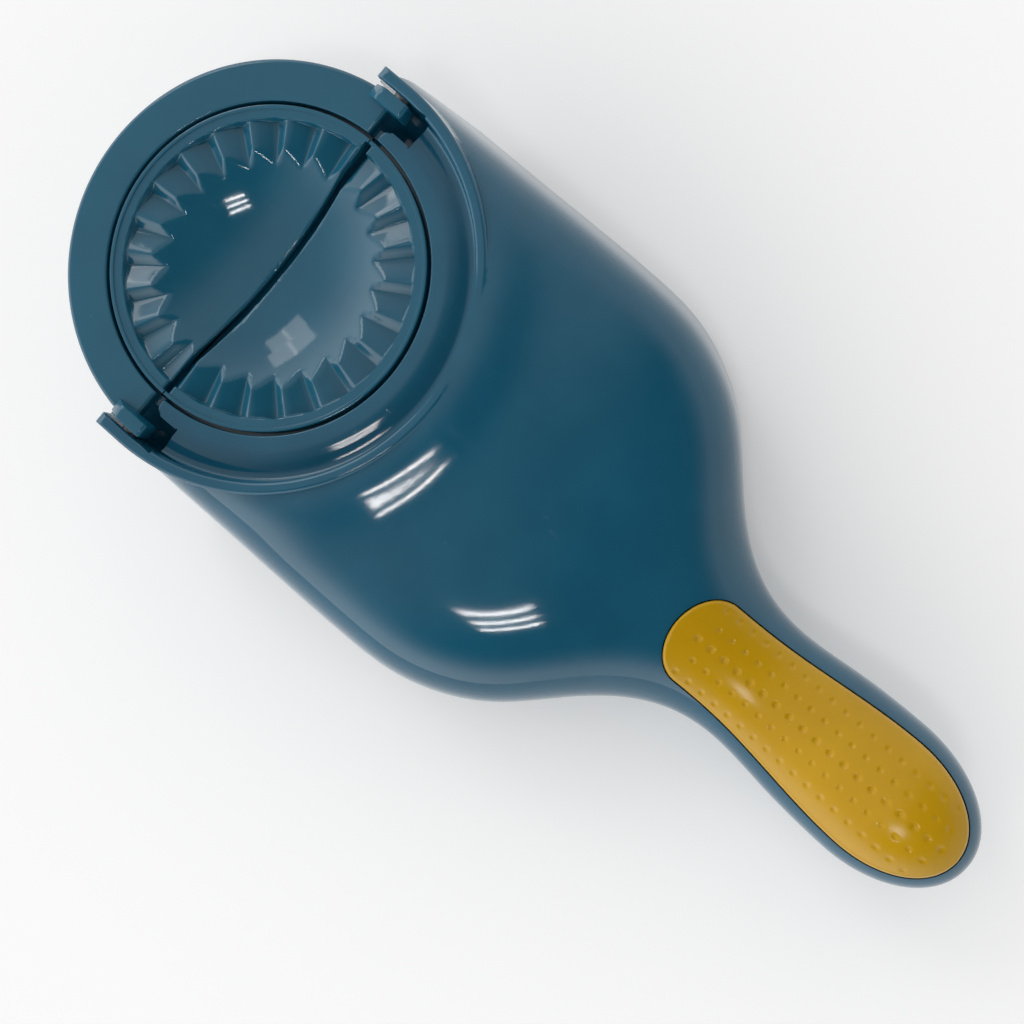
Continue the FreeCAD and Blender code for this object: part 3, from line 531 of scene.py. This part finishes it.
def recess():
    """Sunk ring floor: flat, then down in an easy slope to a gutter, and up round a fillet to the collar."""
    q = RECESS_FILLET
    r, slope = np.array(GUTTER).T
    fine = np.linspace(r[0], r[-1], 25)
    fall = np.interp(fine, r, slope)
    z = -np.concatenate([[0], np.cumsum((fall[1:] + fall[:-1]) / 2 * np.diff(fine))])
    return lathe(np.concatenate([[(0.5, 0.0)], np.column_stack([fine, z]),
                                 arc(RECESS_R - q, z[-1] + q, q, -90, 0, 11)[1:],
                                 [(RECESS_R, FAR), (0.5, FAR)]]), count=240)


def dish_z(r, wall=0.0):
    """Height of the round dish, or of its underside with its wall."""
    return DISH_R - DISH_DEPTH - np.sqrt((DISH_R + wall) ** 2 - r ** 2)


def cup_room():
    """Bore, ledge and room under a cup, with a soft edge at the ring's face."""
    wall = CUP_WALL + CUP_GAP
    reach = math.sqrt((DISH_R + wall) ** 2 - (DISH_R - DISH_DEPTH - LEDGE_Z + 1) ** 2)
    r = np.linspace(0.5, reach, 20)
    return lathe(np.concatenate([np.column_stack([r, dish_z(r, wall)]),
                                 [(LEDGE_R, LEDGE_Z - 1), (LEDGE_R, -CUP_SEAT), (BORE_R, -CUP_SEAT)],
                                 arc(BORE_R + EDGE, -EDGE, EDGE, 180, 90, 6),
                                 [(BORE_R + EDGE, FAR), (0.5, FAR)]]), count=240)


def boss_spots():
    """Bosses as (x, y, seat height)."""
    return ([(x, s * y, -BODY_SEAT) for x, y in BODY_BOSS for s in (1, -1)]
            + [(x, 0.0, -z) for x, z in HANDLE_BOSS])


def upper_shell():
    """Body and handle from above: skin and collar, less recess, hinge room, cup room, pad bed and inside."""
    room = shell_form(-EAR_X, shell_wall, True, skirt=2 * WALL, count=36)
    keep = [post(0, 0, -RING_T, FAR, COLLAR_R, 180), post(0, 0, LEDGE_Z, 1, BORE_R + SKIRT_T, 180),
            block(-EAR_X - 1, BUTT + WALL, -FAR, FAR, -SHELF_Z - WALL, FAR), front_trim(WALL)]
    keep += [block(-EAR_X - 1, NOTCH_X + WALL, s * (NOTCH_Y - WALL), s * FAR, -SHELF_Z - WALL, FAR)
             for s in (1, -1)]
    keep += [post(x, y, z, COLLAR_H + 1, BOSS_R) for x, y, z in boss_spots()]
    inside = work(room, cut(*keep))
    bed = pad_form(GRIP_GAP, 120, 12, lambda x, y: np.full_like(x, 3 * COLLAR_H),
                   lambda x, y: skin_z(x, y, GRIP_DEEP))
    return work(shell_form(-EAR_X, flat_inset(0.0), True),
                add(collar()) + cut(front_trim(), recess(), hinge_opening(), cup_room(), inside, bed,
                                    *[across(0, HINGE_RISE, s * (RECESS_R - 1), s * FAR, PIN_R + PIN_FIT)
                                      for s in (1, -1)]))


def lower_shell():
    """Bottom cover: the lower skin with the round press face, hollow inside, with screw wells."""
    belly = WALL / 2 - BELLY
    low = -BELLY - PRESS_H
    disc = lathe(np.concatenate([[(0.5, low)],
                                 arc(PRESS_R - PRESS_ROUND, low + PRESS_ROUND, PRESS_ROUND, -90, 0, 9),
                                 [(PRESS_R, belly), (0.5, belly)]]), PRESS_X, 0.0, 180)
    spots = boss_spots()
    room = work(shell_form(-EAR_X, flat_inset(WALL), False, skirt=RIM_Z, count=36),
                cut(block(-FAR, FRONT_FOOT + WALL, -FAR, FAR, -FAR, FAR),
                    *[post(x, y, -FAR, z, BOSS_R) for x, y, z in spots]))
    wells = [lathe([(HEAD_R + HEAD_FREE, -FAR), (HEAD_R + HEAD_FREE, z - BOSS_WEB),
                    (SCREW_R + SCREW_FREE, z - BOSS_WEB), (SCREW_R + SCREW_FREE, FAR)], x, y, 48)
             for x, y, z in spots]
    return work(shell_form(-EAR_X, flat_inset(0.0), False, drop=PARTING),
                cut(block(-FAR, FRONT_FOOT, -FAR, FAR, -FAR, FAR)) + add(disc) + cut(room, *wells))


# Grip pad

def pad_half(x, grow=0.0):
    """Half width of the pad: round nose, flanks that widen to the palm, round tail."""
    nose = GRIP_X + GRIP_NOSE
    flank = curve([(nose, GRIP_HALF), (NECK_X, GRIP_HALF + 0.3), (PALM_X, GRIP_PALM)])
    front = np.sqrt(np.clip(1 - (np.minimum(x - nose, 0) / (GRIP_NOSE + grow)) ** 2, 0, 1))
    back = np.sqrt(np.clip(1 - (np.maximum(x - PALM_X, 0) / (GRIP_END - PALM_X + grow)) ** 2, 0, 1))
    return (flank(x) + grow) * front * back


def pad_stations(grow, count):
    """Places along the pad, closer at its round ends."""
    nose = GRIP_X + GRIP_NOSE
    n, m = max(count // 7, 12), max(count // 5, 16)
    a, b = np.linspace(0.03, np.pi / 2, n), np.linspace(0, np.pi / 2 - 0.03, m)
    return np.concatenate([nose - (GRIP_NOSE + grow) * np.cos(a),
                           np.linspace(nose, PALM_X, count - n - m)[1:-1],
                           PALM_X + (GRIP_END - PALM_X + grow) * np.sin(b)])


def pad_form(grow, count, wide, top, low):
    """Solid over the pad's plan between two surfaces of (x, y)."""
    x = pad_stations(grow, count)[:, None]
    v = np.linspace(1, -1, 2 * wide + 1)[None]
    y = pad_half(x, grow) * v
    xx = np.broadcast_to(x, y.shape)
    over, under = np.stack([xx, y, top(xx, y)], -1), np.stack([xx, y, low(xx, y)], -1)[:, ::-1]
    return solid(np.concatenate([over, under], 1))


def dimples(x, y):
    """Depth of the pad's dimples: straight rows of smooth round dips, each set back from the row inside."""
    row = np.round(y / DIMPLE_ROW)
    shift = GRIP_X + DIMPLE_START - DIMPLE_PITCH * DIMPLE_BACK * np.abs(row)
    size = np.where(row == 0, DIMPLE_MIDDLE, 1.0)
    cx = shift + DIMPLE_PITCH * np.round((x - shift) / DIMPLE_PITCH)
    cy = row * DIMPLE_ROW
    room = ((pad_half(cx) - np.abs(cy) > DIMPLE_EDGE) & (cx > GRIP_X + DIMPLE_NOSE)
            & (cx < GRIP_END - DIMPLE_TAIL))
    share = np.clip(1 - ((x - cx) ** 2 + (y - cy) ** 2) / (size * DIMPLE_R) ** 2, 0, 1)
    return DIMPLE_DEEP * size * share ** 1.5 * room


def grip_pad():
    """Soft pad: the handle's skin a little raised, rounded at the edge, with rows of dimples."""
    def top(x, y):
        half = pad_half(x)
        slope = np.gradient(half, axis=0) / np.gradient(x, axis=0)
        d = np.clip((half - np.abs(y)) / np.sqrt(1 + slope ** 2), 0, PAD_ROUND)
        edge = PAD_ROUND - np.sqrt(PAD_ROUND ** 2 - (PAD_ROUND - d) ** 2)
        return skin_z(x, y, -GRIP_PROUD) - edge - dimples(x, y)
    return pad_form(0.0, 330, 70, top, lambda x, y: skin_z(x, y, GRIP_DEEP - GRIP_BED))


# Flap and cups

def flap_ring():
    """Folding half ring: channel profile turned half round, cut at the hinge, with lugs, ribs and nibs."""
    o, q = FLAP_R, FLAP_ROUND
    profile = np.concatenate([arc(BORE_R + EDGE, -EDGE, EDGE, 180, 90, 6), arc(o - q, -q, q, 90, 0, 9),
                              arc(o - EDGE, -SKIRT_H + EDGE, EDGE, 0, -90, 4),
                              [(o - SKIRT_T, -SKIRT_H), (o - SKIRT_T, -RING_T), (BORE_R + SKIRT_T, -RING_T),
                               (BORE_R + SKIRT_T, LEDGE_Z), (LEDGE_R, LEDGE_Z), (LEDGE_R, -CUP_SEAT),
                               (BORE_R, -CUP_SEAT)]])
    r, z = profile.T
    turn = np.radians(np.linspace(-4, 184, 241))
    ring = solid([np.column_stack([-r * np.sin(a), r * np.cos(a), z]) for a in turn])
    q = EDGE + 0.3
    edge = arc(-FLAP_BUTT - q, -q, q, 0, 90, 8)
    straight = slab(np.concatenate([[(-FLAP_BUTT, -FAR)], edge,
                                    [(-FLAP_BUTT - q, FAR), (FAR, FAR), (FAR, -FAR)]]), -FAR, FAR)
    extra = []
    for k in range(1, int(round(180 / RIB_STEP))):
        a = math.radians(k * RIB_STEP)
        u, w = np.array([-math.sin(a), math.cos(a)]), np.array([math.cos(a), math.sin(a)]) * RIB_T / 2
        inner, outer = u * (BORE_R + SKIRT_T / 2), u * (FLAP_R - SKIRT_T / 2)
        extra.append(prism([inner - w, outer - w, outer + w, inner + w], LEDGE_Z, -RING_T / 2))
    low, high, back = HINGE_RISE - LUG_R, HINGE_RISE + LUG_R, -FLAP_BUTT - END_SINK
    side = round_plan([(-LUG_REACH, low), (-LUG_REACH, HINGE_RISE), (-LUG_FLAT, high), (LUG_BACK, high),
                       (LUG_BACK, low)], [0.3, 0.8, 0.8, LUG_ROUND, LUG_ROUND])
    centre = np.array([0.0, HINGE_RISE])
    inset = [(0.4, 0.0), (0.12, 0.12), (0.0, 0.4)]
    steps = [(i, LUG_IN + d) for i, d in inset] + [(i, FLAP_R - d) for i, d in inset[::-1]]
    for s in (1, -1):
        rings = [(centre + (side - centre) * (1 - i / LUG_R), s * y) for i, y in steps]
        extra.append(solid([np.column_stack([q[:, 0], np.full(len(q), y), q[:, 1]]) for q, y in rings]))
        extra.append(block(back - SKIRT_T, back, s * (BORE_R + SKIRT_T / 2), s * (LUG_IN + SKIRT_T / 2),
                           LEDGE_Z, -RING_T / 2))
        extra.append(block(back - SKIRT_T, BUTT - STOP_GAP, s * (BORE_R + STOP_GAP),
                           s * (BORE_R + STOP_GAP + STOP_W), LEDGE_Z, -RING_T))
    holes = [across(0, HINGE_RISE, s * (LUG_IN + LUG_SKIN), s * FAR, PIN_R + PIN_PRESS) for s in (1, -1)]
    return work(ring, cut(straight) + add(*extra) + cut(*holes))


TOOTH_KNOTS = np.array([(0.0, 0.055), (0.4, 0.178), (2.2, 0.978), (4.1, 1.822), (4.5, 1.93), (5.0, 1.905),
                        (7.0, 1.524), (9.5, 1.048), (12.0, 0.571), (14.5, 0.095), (15.0, 0.055)])


def saw(angle, phase):
    """Height of the saw teeth: a steep flank down, a long flank up, with worn crests and rounded roots."""
    return -TOOTH_TOP - np.interp((angle - phase) % PITCH, *TOOTH_KNOTS.T) * TOOTH_H / 2


def soft_min(a, b, k):
    """Lower of two heights with a rounded meeting line."""
    h = np.clip(0.5 + 0.5 * (b - a) / k, 0, 1)
    return b + (a - b) * h - k * h * (1 - h)


def mould_cup(front):
    """Half dish: at each angle a closed profile, its top the lower of dish and saw teeth, with rim and lip."""
    phase = FRONT_PHASE if front else REAR_PHASE
    marks = (TOOTH_KNOTS[:-1, 0][None] + PITCH * np.arange(-1, TOOTH_N + 1)[:, None] + phase).ravel()
    fine = np.concatenate([np.linspace(0, 4, 13), np.linspace(176, 180, 13)])
    angle = np.unique(np.round(np.concatenate([marks[(marks > 0) & (marks < 180)], fine]), 3))
    r_in = np.concatenate([[0.4], np.linspace(1.5, 19.5, 19), np.linspace(20, TOOTH_R - 0.25, 46)])
    a, r = angle[:, None], r_in[None]
    edge = BUTT - TIP_GAP
    flat = soft_min(dish_z(r), np.full_like(r, -TOOTH_TOP), 0.2)
    inner = soft_min(np.broadcast_to(flat, (len(angle), len(r_in))), saw(a, phase) + 0 * r, 0.22)
    root = inner[:, -1:]
    rim = np.array([(TOOTH_R - 0.08, 0.12), (TOOTH_R + 0.06, 0.85), (TOOTH_R + 0.2, 0.97),
                    (TOOTH_R + 0.5, 1.0)])
    up = root + (-RIM_SINK - root) * rim[None, :, 1]
    lip = CUP_R - LIP_W
    outer = np.array([(lip - 0.25, -RIM_SINK), (lip - 0.06, -RIM_SINK + 0.06), (lip + 0.06, LIP_H - 0.06),
                      (lip + 0.25, LIP_H), (CUP_R - 0.25, LIP_H), (CUP_R - 0.07, LIP_H - 0.07),
                      (CUP_R, LIP_H - 0.25), (CUP_R, -CUP_SEAT)])
    under_r = np.concatenate([[math.sqrt((DISH_R + CUP_WALL) ** 2 - (DISH_R - DISH_DEPTH + CUP_SEAT) ** 2)],
                              np.linspace(26, 0.4, 16)])
    n = len(angle)
    rr = np.concatenate([np.broadcast_to(q, (n, len(q))) for q in (r_in, rim[:, 0], outer[:, 0], under_r)], 1)
    zz = np.concatenate([inner, up, np.broadcast_to(outer[:, 1], (n, len(outer))),
                         np.broadcast_to(dish_z(under_r, CUP_WALL), (n, len(under_r)))], 1)
    x, y = rr * np.sin(np.radians(a)), rr * np.cos(np.radians(a))
    top = len(r_in) + len(rim) + len(outer) - 2
    d = np.clip(x[:, :top] - edge, 0, EDGE)
    zz[:, :top] -= np.where(rr[:, :top] < lip - 0.1, EDGE - np.sqrt(EDGE ** 2 - (EDGE - d) ** 2), 0)
    half = solid(np.stack([x, y, zz], -1))
    cup = work(half, cut(block(-FAR, edge, -lip, lip, -FAR, FAR), block(-FAR, TIP_GAP, -FAR, FAR, -FAR, FAR),
                         block(-FAR, edge, -FAR, FAR, -FAR, -LIP_DEEP)))
    if front:
        cup.transform(Matrix.Diagonal((-1.0, 1.0, 1.0, 1.0)))
        cup.flip_normals()
    return cup


# Materials

def srgb(r, g, b):
    """Linear colour of an 8-bit sRGB one."""
    c = np.array([r, g, b]) / 255
    return (*np.where(c <= 0.04045, c / 12.92, ((c + 0.055) / 1.055) ** 2.4), 1.0)


def new_group(name, inputs, outputs):
    """Empty shader node group with named sockets."""
    tree = bpy.data.node_groups.new(name, "ShaderNodeTree")
    for label, kind, value in inputs:
        s = tree.interface.new_socket(label, in_out="INPUT", socket_type=kind)
        if value is not None:
            s.default_value = value
    for label, kind in outputs:
        tree.interface.new_socket(label, in_out="OUTPUT", socket_type=kind)
    return tree, tree.nodes.new("NodeGroupInput"), tree.nodes.new("NodeGroupOutput")


def math_node(tree, kind, a, b=None, clamp=False):
    """Math node whose operands are sockets or numbers."""
    n = tree.nodes.new("ShaderNodeMath")
    n.operation, n.use_clamp = kind, clamp
    for k, v in enumerate((a, b)):
        if v is None:
            continue
        if isinstance(v, (int, float)):
            n.inputs[k].default_value = v
        else:
            tree.links.new(v, n.inputs[k])
    return n.outputs[0]


def ramp(tree, value, low, high, to_low=0.0, to_high=1.0):
    """Value mapped smoothly from one range to another."""
    n = tree.nodes.new("ShaderNodeMapRange")
    n.interpolation_type = "SMOOTHSTEP"
    tree.links.new(value, n.inputs[0])
    for k, v in enumerate((low, high, to_low, to_high)):
        n.inputs[k + 1].default_value = v
    return n.outputs[0]


def noise(tree, vector, scale, detail=3.0, rough=0.5):
    """Noise texture over a vector."""
    n = tree.nodes.new("ShaderNodeTexNoise")
    tree.links.new(vector, n.inputs["Vector"])
    n.inputs["Scale"].default_value = scale
    n.inputs["Detail"].default_value = detail
    n.inputs["Roughness"].default_value = rough
    return n.outputs["Fac"]


def finish_group():
    """Moulded finish: cloudy gloss, faint waves in the surface, hair scratches and specks of dust."""
    tree, i, o = new_group("moulded_finish", [
        ("Vector", "NodeSocketVector", None), ("Gloss", "NodeSocketFloat", 0.2),
        ("Cloud", "NodeSocketFloat", 0.08), ("Scratch", "NodeSocketFloat", 0.15),
        ("Wave", "NodeSocketFloat", 0.3)],
        [("Roughness", "NodeSocketFloat"), ("Tone", "NodeSocketFloat"), ("Height", "NodeSocketFloat"),
         ("Specks", "NodeSocketFloat")])
    v = i.outputs["Vector"]
    cloud = noise(tree, v, 55.0, 4.0, 0.6)
    fine = noise(tree, v, 1900.0, 2.0, 0.5)
    m = tree.nodes.new("ShaderNodeMapping")
    m.inputs["Rotation"].default_value = (0.3, 0.2, 0.7)
    m.inputs["Scale"].default_value = (1.0, 14.0, 6.0)
    tree.links.new(v, m.inputs["Vector"])
    hair = ramp(tree, noise(tree, m.outputs[0], 160.0, 2.0, 0.4), 0.66, 0.72)
    patch = ramp(tree, noise(tree, v, 70.0, 1.0), 0.55, 0.7)
    hair = math_node(tree, "MULTIPLY", hair, patch)
    cells = tree.nodes.new("ShaderNodeTexVoronoi")
    cells.inputs["Scale"].default_value = 260.0
    tree.links.new(v, cells.inputs["Vector"])
    dots = ramp(tree, cells.outputs["Distance"], 0.03, 0.09, 1.0, 0.0)
    pick = ramp(tree, noise(tree, v, 180.0, 0.0), 0.66, 0.7)
    specks = math_node(tree, "MULTIPLY", dots, pick)
    tree.links.new(specks, o.inputs["Specks"])
    spread = math_node(tree, "MULTIPLY", math_node(tree, "SUBTRACT", cloud, 0.5), i.outputs["Cloud"])
    worn = math_node(tree, "MULTIPLY", hair, i.outputs["Scratch"])
    gloss = math_node(tree, "ADD", math_node(tree, "ADD", i.outputs["Gloss"], spread), worn)
    tree.links.new(math_node(tree, "ADD", gloss, math_node(tree, "MULTIPLY", specks, 0.2), clamp=True),
                   o.inputs["Roughness"])
    tree.links.new(ramp(tree, cloud, 0.3, 0.7, -1.0, 1.0), o.inputs["Tone"])
    slow = math_node(tree, "MULTIPLY", noise(tree, v, 24.0, 1.0), i.outputs["Wave"])
    grain = math_node(tree, "ADD", slow, math_node(tree, "MULTIPLY", fine, 0.004))
    grain = math_node(tree, "SUBTRACT", grain, math_node(tree, "MULTIPLY", hair, 0.01))
    tree.links.new(grain, o.inputs["Height"])
    return tree


FINISH = finish_group()


# seam on the crown, in metres of the shared frame
SEAM_HALF = 0.0024
SEAM_ASIDE = 0.001
SEAM_WANDER = 0.0012
SEAM_START = (-0.002, 0.001)
SEAM_END = (0.055, 0.066)
SEAM_HIGH = (0.022, 0.026)
SEAM_DEEP = 0.05       # share of the bump


def seam_mask(tree, vector):
    """Faint line that the mould left along the middle of the body, between the ring and the pad."""
    s = tree.nodes.new("ShaderNodeSeparateXYZ")
    tree.links.new(vector, s.inputs[0])
    wander = math_node(tree, "SUBTRACT", noise(tree, vector, 40.0, 1.0), 0.5)
    wander = math_node(tree, "MULTIPLY", wander, SEAM_WANDER)
    off = math_node(tree, "ADD", math_node(tree, "ADD", s.outputs["Y"], SEAM_ASIDE), wander)
    line = ramp(tree, math_node(tree, "ABSOLUTE", off), 0.0, SEAM_HALF, 1.0, 0.0)
    start = ramp(tree, s.outputs["X"], *SEAM_START)
    end = ramp(tree, s.outputs["X"], *SEAM_END, 1.0, 0.0)
    high = ramp(tree, s.outputs["Z"], *SEAM_HIGH)
    return math_node(tree, "MULTIPLY", math_node(tree, "MULTIPLY", line, start),
                     math_node(tree, "MULTIPLY", end, high))


def plastic(name, colour, light, gloss, cloud, scratch, wave, bump, seam=False, specular=0.5):
    """Moulded plastic: one colour that drifts towards a lighter one, with the moulded finish."""
    m = bpy.data.materials.new(name)
    m.use_nodes = True
    t = m.node_tree
    shader = t.nodes["Principled BSDF"]
    shader.inputs["Specular IOR Level"].default_value = specular
    where = t.nodes.new("ShaderNodeTexCoord").outputs["Object"]
    g = t.nodes.new("ShaderNodeGroup")
    g.node_tree = FINISH
    t.links.new(where, g.inputs["Vector"])
    for label, value in (("Gloss", gloss), ("Cloud", cloud), ("Scratch", scratch), ("Wave", wave)):
        g.inputs[label].default_value = value
    mix = t.nodes.new("ShaderNodeMix")
    mix.data_type = "RGBA"
    mix.inputs["A"].default_value, mix.inputs["B"].default_value = srgb(*colour), srgb(*light)
    share = ramp(t, g.outputs["Tone"], -1.0, 1.0, 0.0, 0.5)
    share = math_node(t, "ADD", share, math_node(t, "MULTIPLY", g.outputs["Specks"], 0.8), clamp=True)
    height = g.outputs["Height"]
    if seam:
        line = seam_mask(t, where)
        height = math_node(t, "SUBTRACT", height, math_node(t, "MULTIPLY", line, SEAM_DEEP))
    t.links.new(share, mix.inputs["Factor"])
    t.links.new(mix.outputs["Result"], shader.inputs["Base Color"])
    t.links.new(g.outputs["Roughness"], shader.inputs["Roughness"])
    b = t.nodes.new("ShaderNodeBump")
    b.inputs["Strength"].default_value = 1.0
    b.inputs["Distance"].default_value = bump
    t.links.new(height, b.inputs["Height"])
    t.links.new(b.outputs[0], shader.inputs["Normal"])
    return m


def steel(name, colour, gloss):
    """Plated steel with a cloudy sheen."""
    m = plastic(name, colour, tuple(min(c + 30, 255) for c in colour), gloss, 0.15, 0.2, 0.1, 0.00005)
    m.node_tree.nodes["Principled BSDF"].inputs["Metallic"].default_value = 1.0
    return m


BODY = plastic("body_gloss", (15, 80, 105), (22, 88, 113), 0.07, 0.03, 0.12, 0.05, 0.0006, seam=True)
MOULD = plastic("mould_gloss", (17, 83, 107), (24, 91, 115), 0.07, 0.04, 0.15, 0.04, 0.0005)
GRIP = plastic("grip_soft", (186, 142, 5), (194, 150, 10), 0.19, 0.08, 0.1, 0.1, 0.0003, specular=0.36)
SCREW = steel("screw_steel", (150, 150, 148), 0.35)
PIN = steel("pin_steel", (92, 94, 96), 0.42)


# Pieces

def piece(name, mesh, material, body, node, sharp=34.0):
    """Finished piece in the shared frame, smooth but for its sharp edges, in place of its CAD node."""
    mesh.transform(TO_FRAME)
    mesh.name = name
    mesh.materials.clear()
    mesh.materials.append(material)
    mesh.polygons.foreach_set("use_smooth", np.ones(len(mesh.polygons), bool))
    mesh.polygons.foreach_set("material_index", np.zeros(len(mesh.polygons), np.int32))
    mesh.set_sharp_from_angle(angle=math.radians(sharp))
    o = bpy.data.objects.new(name, mesh)
    bpy.context.scene.collection.objects.link(o)
    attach(o, body)
    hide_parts(node)
    return o


piece("upper_shell_skin", upper_shell(), BODY, "body", "upper_shell")
piece("lower_shell_skin", lower_shell(), BODY, "body", "lower_shell")
piece("grip_pad_soft", grip_pad(), GRIP, "body", "grip_pad")
piece("rear_cup_toothed", mould_cup(False), MOULD, "body", "rear_mould_cup", 42.0)
piece("flap_ring_skin", flap_ring(), MOULD, "flap", "flap_ring")
piece("front_cup_toothed", mould_cup(True), MOULD, "flap", "front_mould_cup", 42.0)
for node, material in (("rear_cup_screws", SCREW), ("front_cup_screws", SCREW), ("body_screws", SCREW),
                       ("handle_screws", SCREW), ("hinge_pin_left", PIN), ("hinge_pin_right", PIN)):
    data = frame["nodes"][node].data
    data.materials.clear()
    data.materials.append(material)


# Floor, light and camera

FLOOR_GLOW = 0.18
FLOOR_HALF = 3.0
ROOM_LOW = (-0.9, 0.9, 2.25, 0.9)      # along the picture's width: from, to, strength there
ROOM_TOP = (-0.16, 0.25, 0.72, 0.1)    # along X, overhead
ROOM_RISE = (0.25, 0.8)                # heights from the low light to the overhead one
TUBE_AT = (0.61, -0.8, 2.64)
TUBE_STEP = (0.124, -0.0715, 0.0)
TUBE_SIZE = (0.03, 0.475)
TUBE_POWER = 2.0
TUBE_TURN = -30.0
WINDOW_AT = (-1.61, 0.46, 1.43)
PANE_STEP = (0.16, 0.19)
PANE_SIZE = (0.29, 0.36)
PANE_POWER = 0.8
LAMP_AIM = (0.0, 0.0, 0.03)
CAMERA_AT = (0.05824, 0.01835, 0.33342)
CAMERA_LENS = 49.22
# the camera's right, down and forward directions
VIEW = ((0.749923054597138, 0.6466519007769068, -0.13948738797938495),
        (0.651227937054205, -0.7587106119069862, -0.016136337250169046),
        (-0.11626515464154534, -0.078737072598238, -0.9900923629716762))


def floor_material():
    """White table top with a trace of cloud; a glow that only the camera, mirrors and glass see lifts it."""
    m = bpy.data.materials.new("floor_white")
    m.use_nodes = True
    t = m.node_tree
    shader = t.nodes["Principled BSDF"]
    shader.inputs["Roughness"].default_value = 0.9
    shader.inputs["Specular IOR Level"].default_value = 0.0
    where = t.nodes.new("ShaderNodeTexCoord").outputs["Object"]
    t.links.new(ramp(t, noise(t, where, 3.0), 0.2, 0.8, 0.88, 0.9), shader.inputs["Base Color"])
    rays = t.nodes.new("ShaderNodeLightPath").outputs
    seen = math_node(t, "ADD", math_node(t, "ADD", rays["Is Camera Ray"], rays["Is Glossy Ray"]),
                     rays["Is Transmission Ray"], clamp=True)
    t.links.new(math_node(t, "MULTIPLY", seen, FLOOR_GLOW), shader.inputs["Emission Color"])
    shader.inputs["Emission Strength"].default_value = 1.0
    return m


def floor():
    """Flat square under the object."""
    mesh = bpy.data.meshes.new("floor")
    s = FLOOR_HALF
    mesh.from_pydata([(-s, -s, 0), (s, -s, 0), (s, s, 0), (-s, s, 0)], [], [(0, 1, 2, 3)])
    mesh.materials.append(floor_material())
    o = bpy.data.objects.new("floor", mesh)
    bpy.context.scene.collection.objects.link(o)


def lamp(name, place, size, power, turn=0.0):
    """Rectangular lamp that looks at the object; its long side is along its own Y."""
    light = bpy.data.lights.new(name, "AREA")
    light.shape = "RECTANGLE"
    light.size, light.size_y = size
    light.energy = power
    o = bpy.data.objects.new(name, light)
    back = np.array(place, float) - LAMP_AIM
    back /= np.linalg.norm(back)
    right = np.cross((0.0, 1.0, 0.0), back)
    right /= np.linalg.norm(right)
    spin = Matrix(np.array([right, np.cross(back, right), back]).T.tolist()).to_4x4()
    o.matrix_world = Matrix.Translation(place) @ spin @ Matrix.Rotation(turn, 4, "Z")
    bpy.context.scene.collection.objects.link(o)


def world():
    """Room light: near the floor line bright at the picture's left, overhead bright on the mould's side."""
    w = bpy.data.worlds.new("room")
    w.use_nodes = True
    t = w.node_tree
    s = t.nodes.new("ShaderNodeSeparateXYZ")
    t.links.new(t.nodes.new("ShaderNodeTexCoord").outputs["Generated"], s.inputs[0])
    left = math_node(t, "ADD", s.outputs["X"], s.outputs["Y"])
    low = ramp(t, left, *ROOM_LOW)
    top = ramp(t, s.outputs["X"], *ROOM_TOP)
    t.nodes["Background"].inputs["Color"].default_value = (1.0, 1.0, 1.0, 1.0)
    mix = t.nodes.new("ShaderNodeMix")
    t.links.new(ramp(t, s.outputs["Z"], *ROOM_RISE), mix.inputs["Factor"])
    t.links.new(low, mix.inputs["A"])
    t.links.new(top, mix.inputs["B"])
    t.links.new(mix.outputs["Result"], t.nodes["Background"].inputs["Strength"])
    bpy.context.scene.world = w


def camera():
    """Camera at the photograph's place."""
    right, down, ahead = np.array(VIEW)
    data = bpy.data.cameras.new("camera")
    data.sensor_width = 36.0
    data.lens = CAMERA_LENS
    data.clip_start = 0.01
    o = bpy.data.objects.new("camera", data)
    turn = Matrix(np.column_stack([right, -down, -ahead]).tolist()).to_4x4()
    o.matrix_world = Matrix.Translation(CAMERA_AT) @ turn
    bpy.context.scene.collection.objects.link(o)
    bpy.context.scene.camera = o


floor()
world()
camera()
for k in (-1, 0, 1):
    lamp("tube_%d" % (k + 2), tuple(a + k * b for a, b in zip(TUBE_AT, TUBE_STEP)), TUBE_SIZE, TUBE_POWER,
         math.radians(TUBE_TURN))
for k, (u, v) in enumerate(((-1, -1), (-1, 1), (1, -1), (1, 1))):
    x, y, z = WINDOW_AT
    lamp("window_%d" % (k + 1), (x, y + PANE_STEP[0] * u, z + PANE_STEP[1] * v), PANE_SIZE, PANE_POWER)
bpy.context.scene.view_settings.view_transform = "Standard"
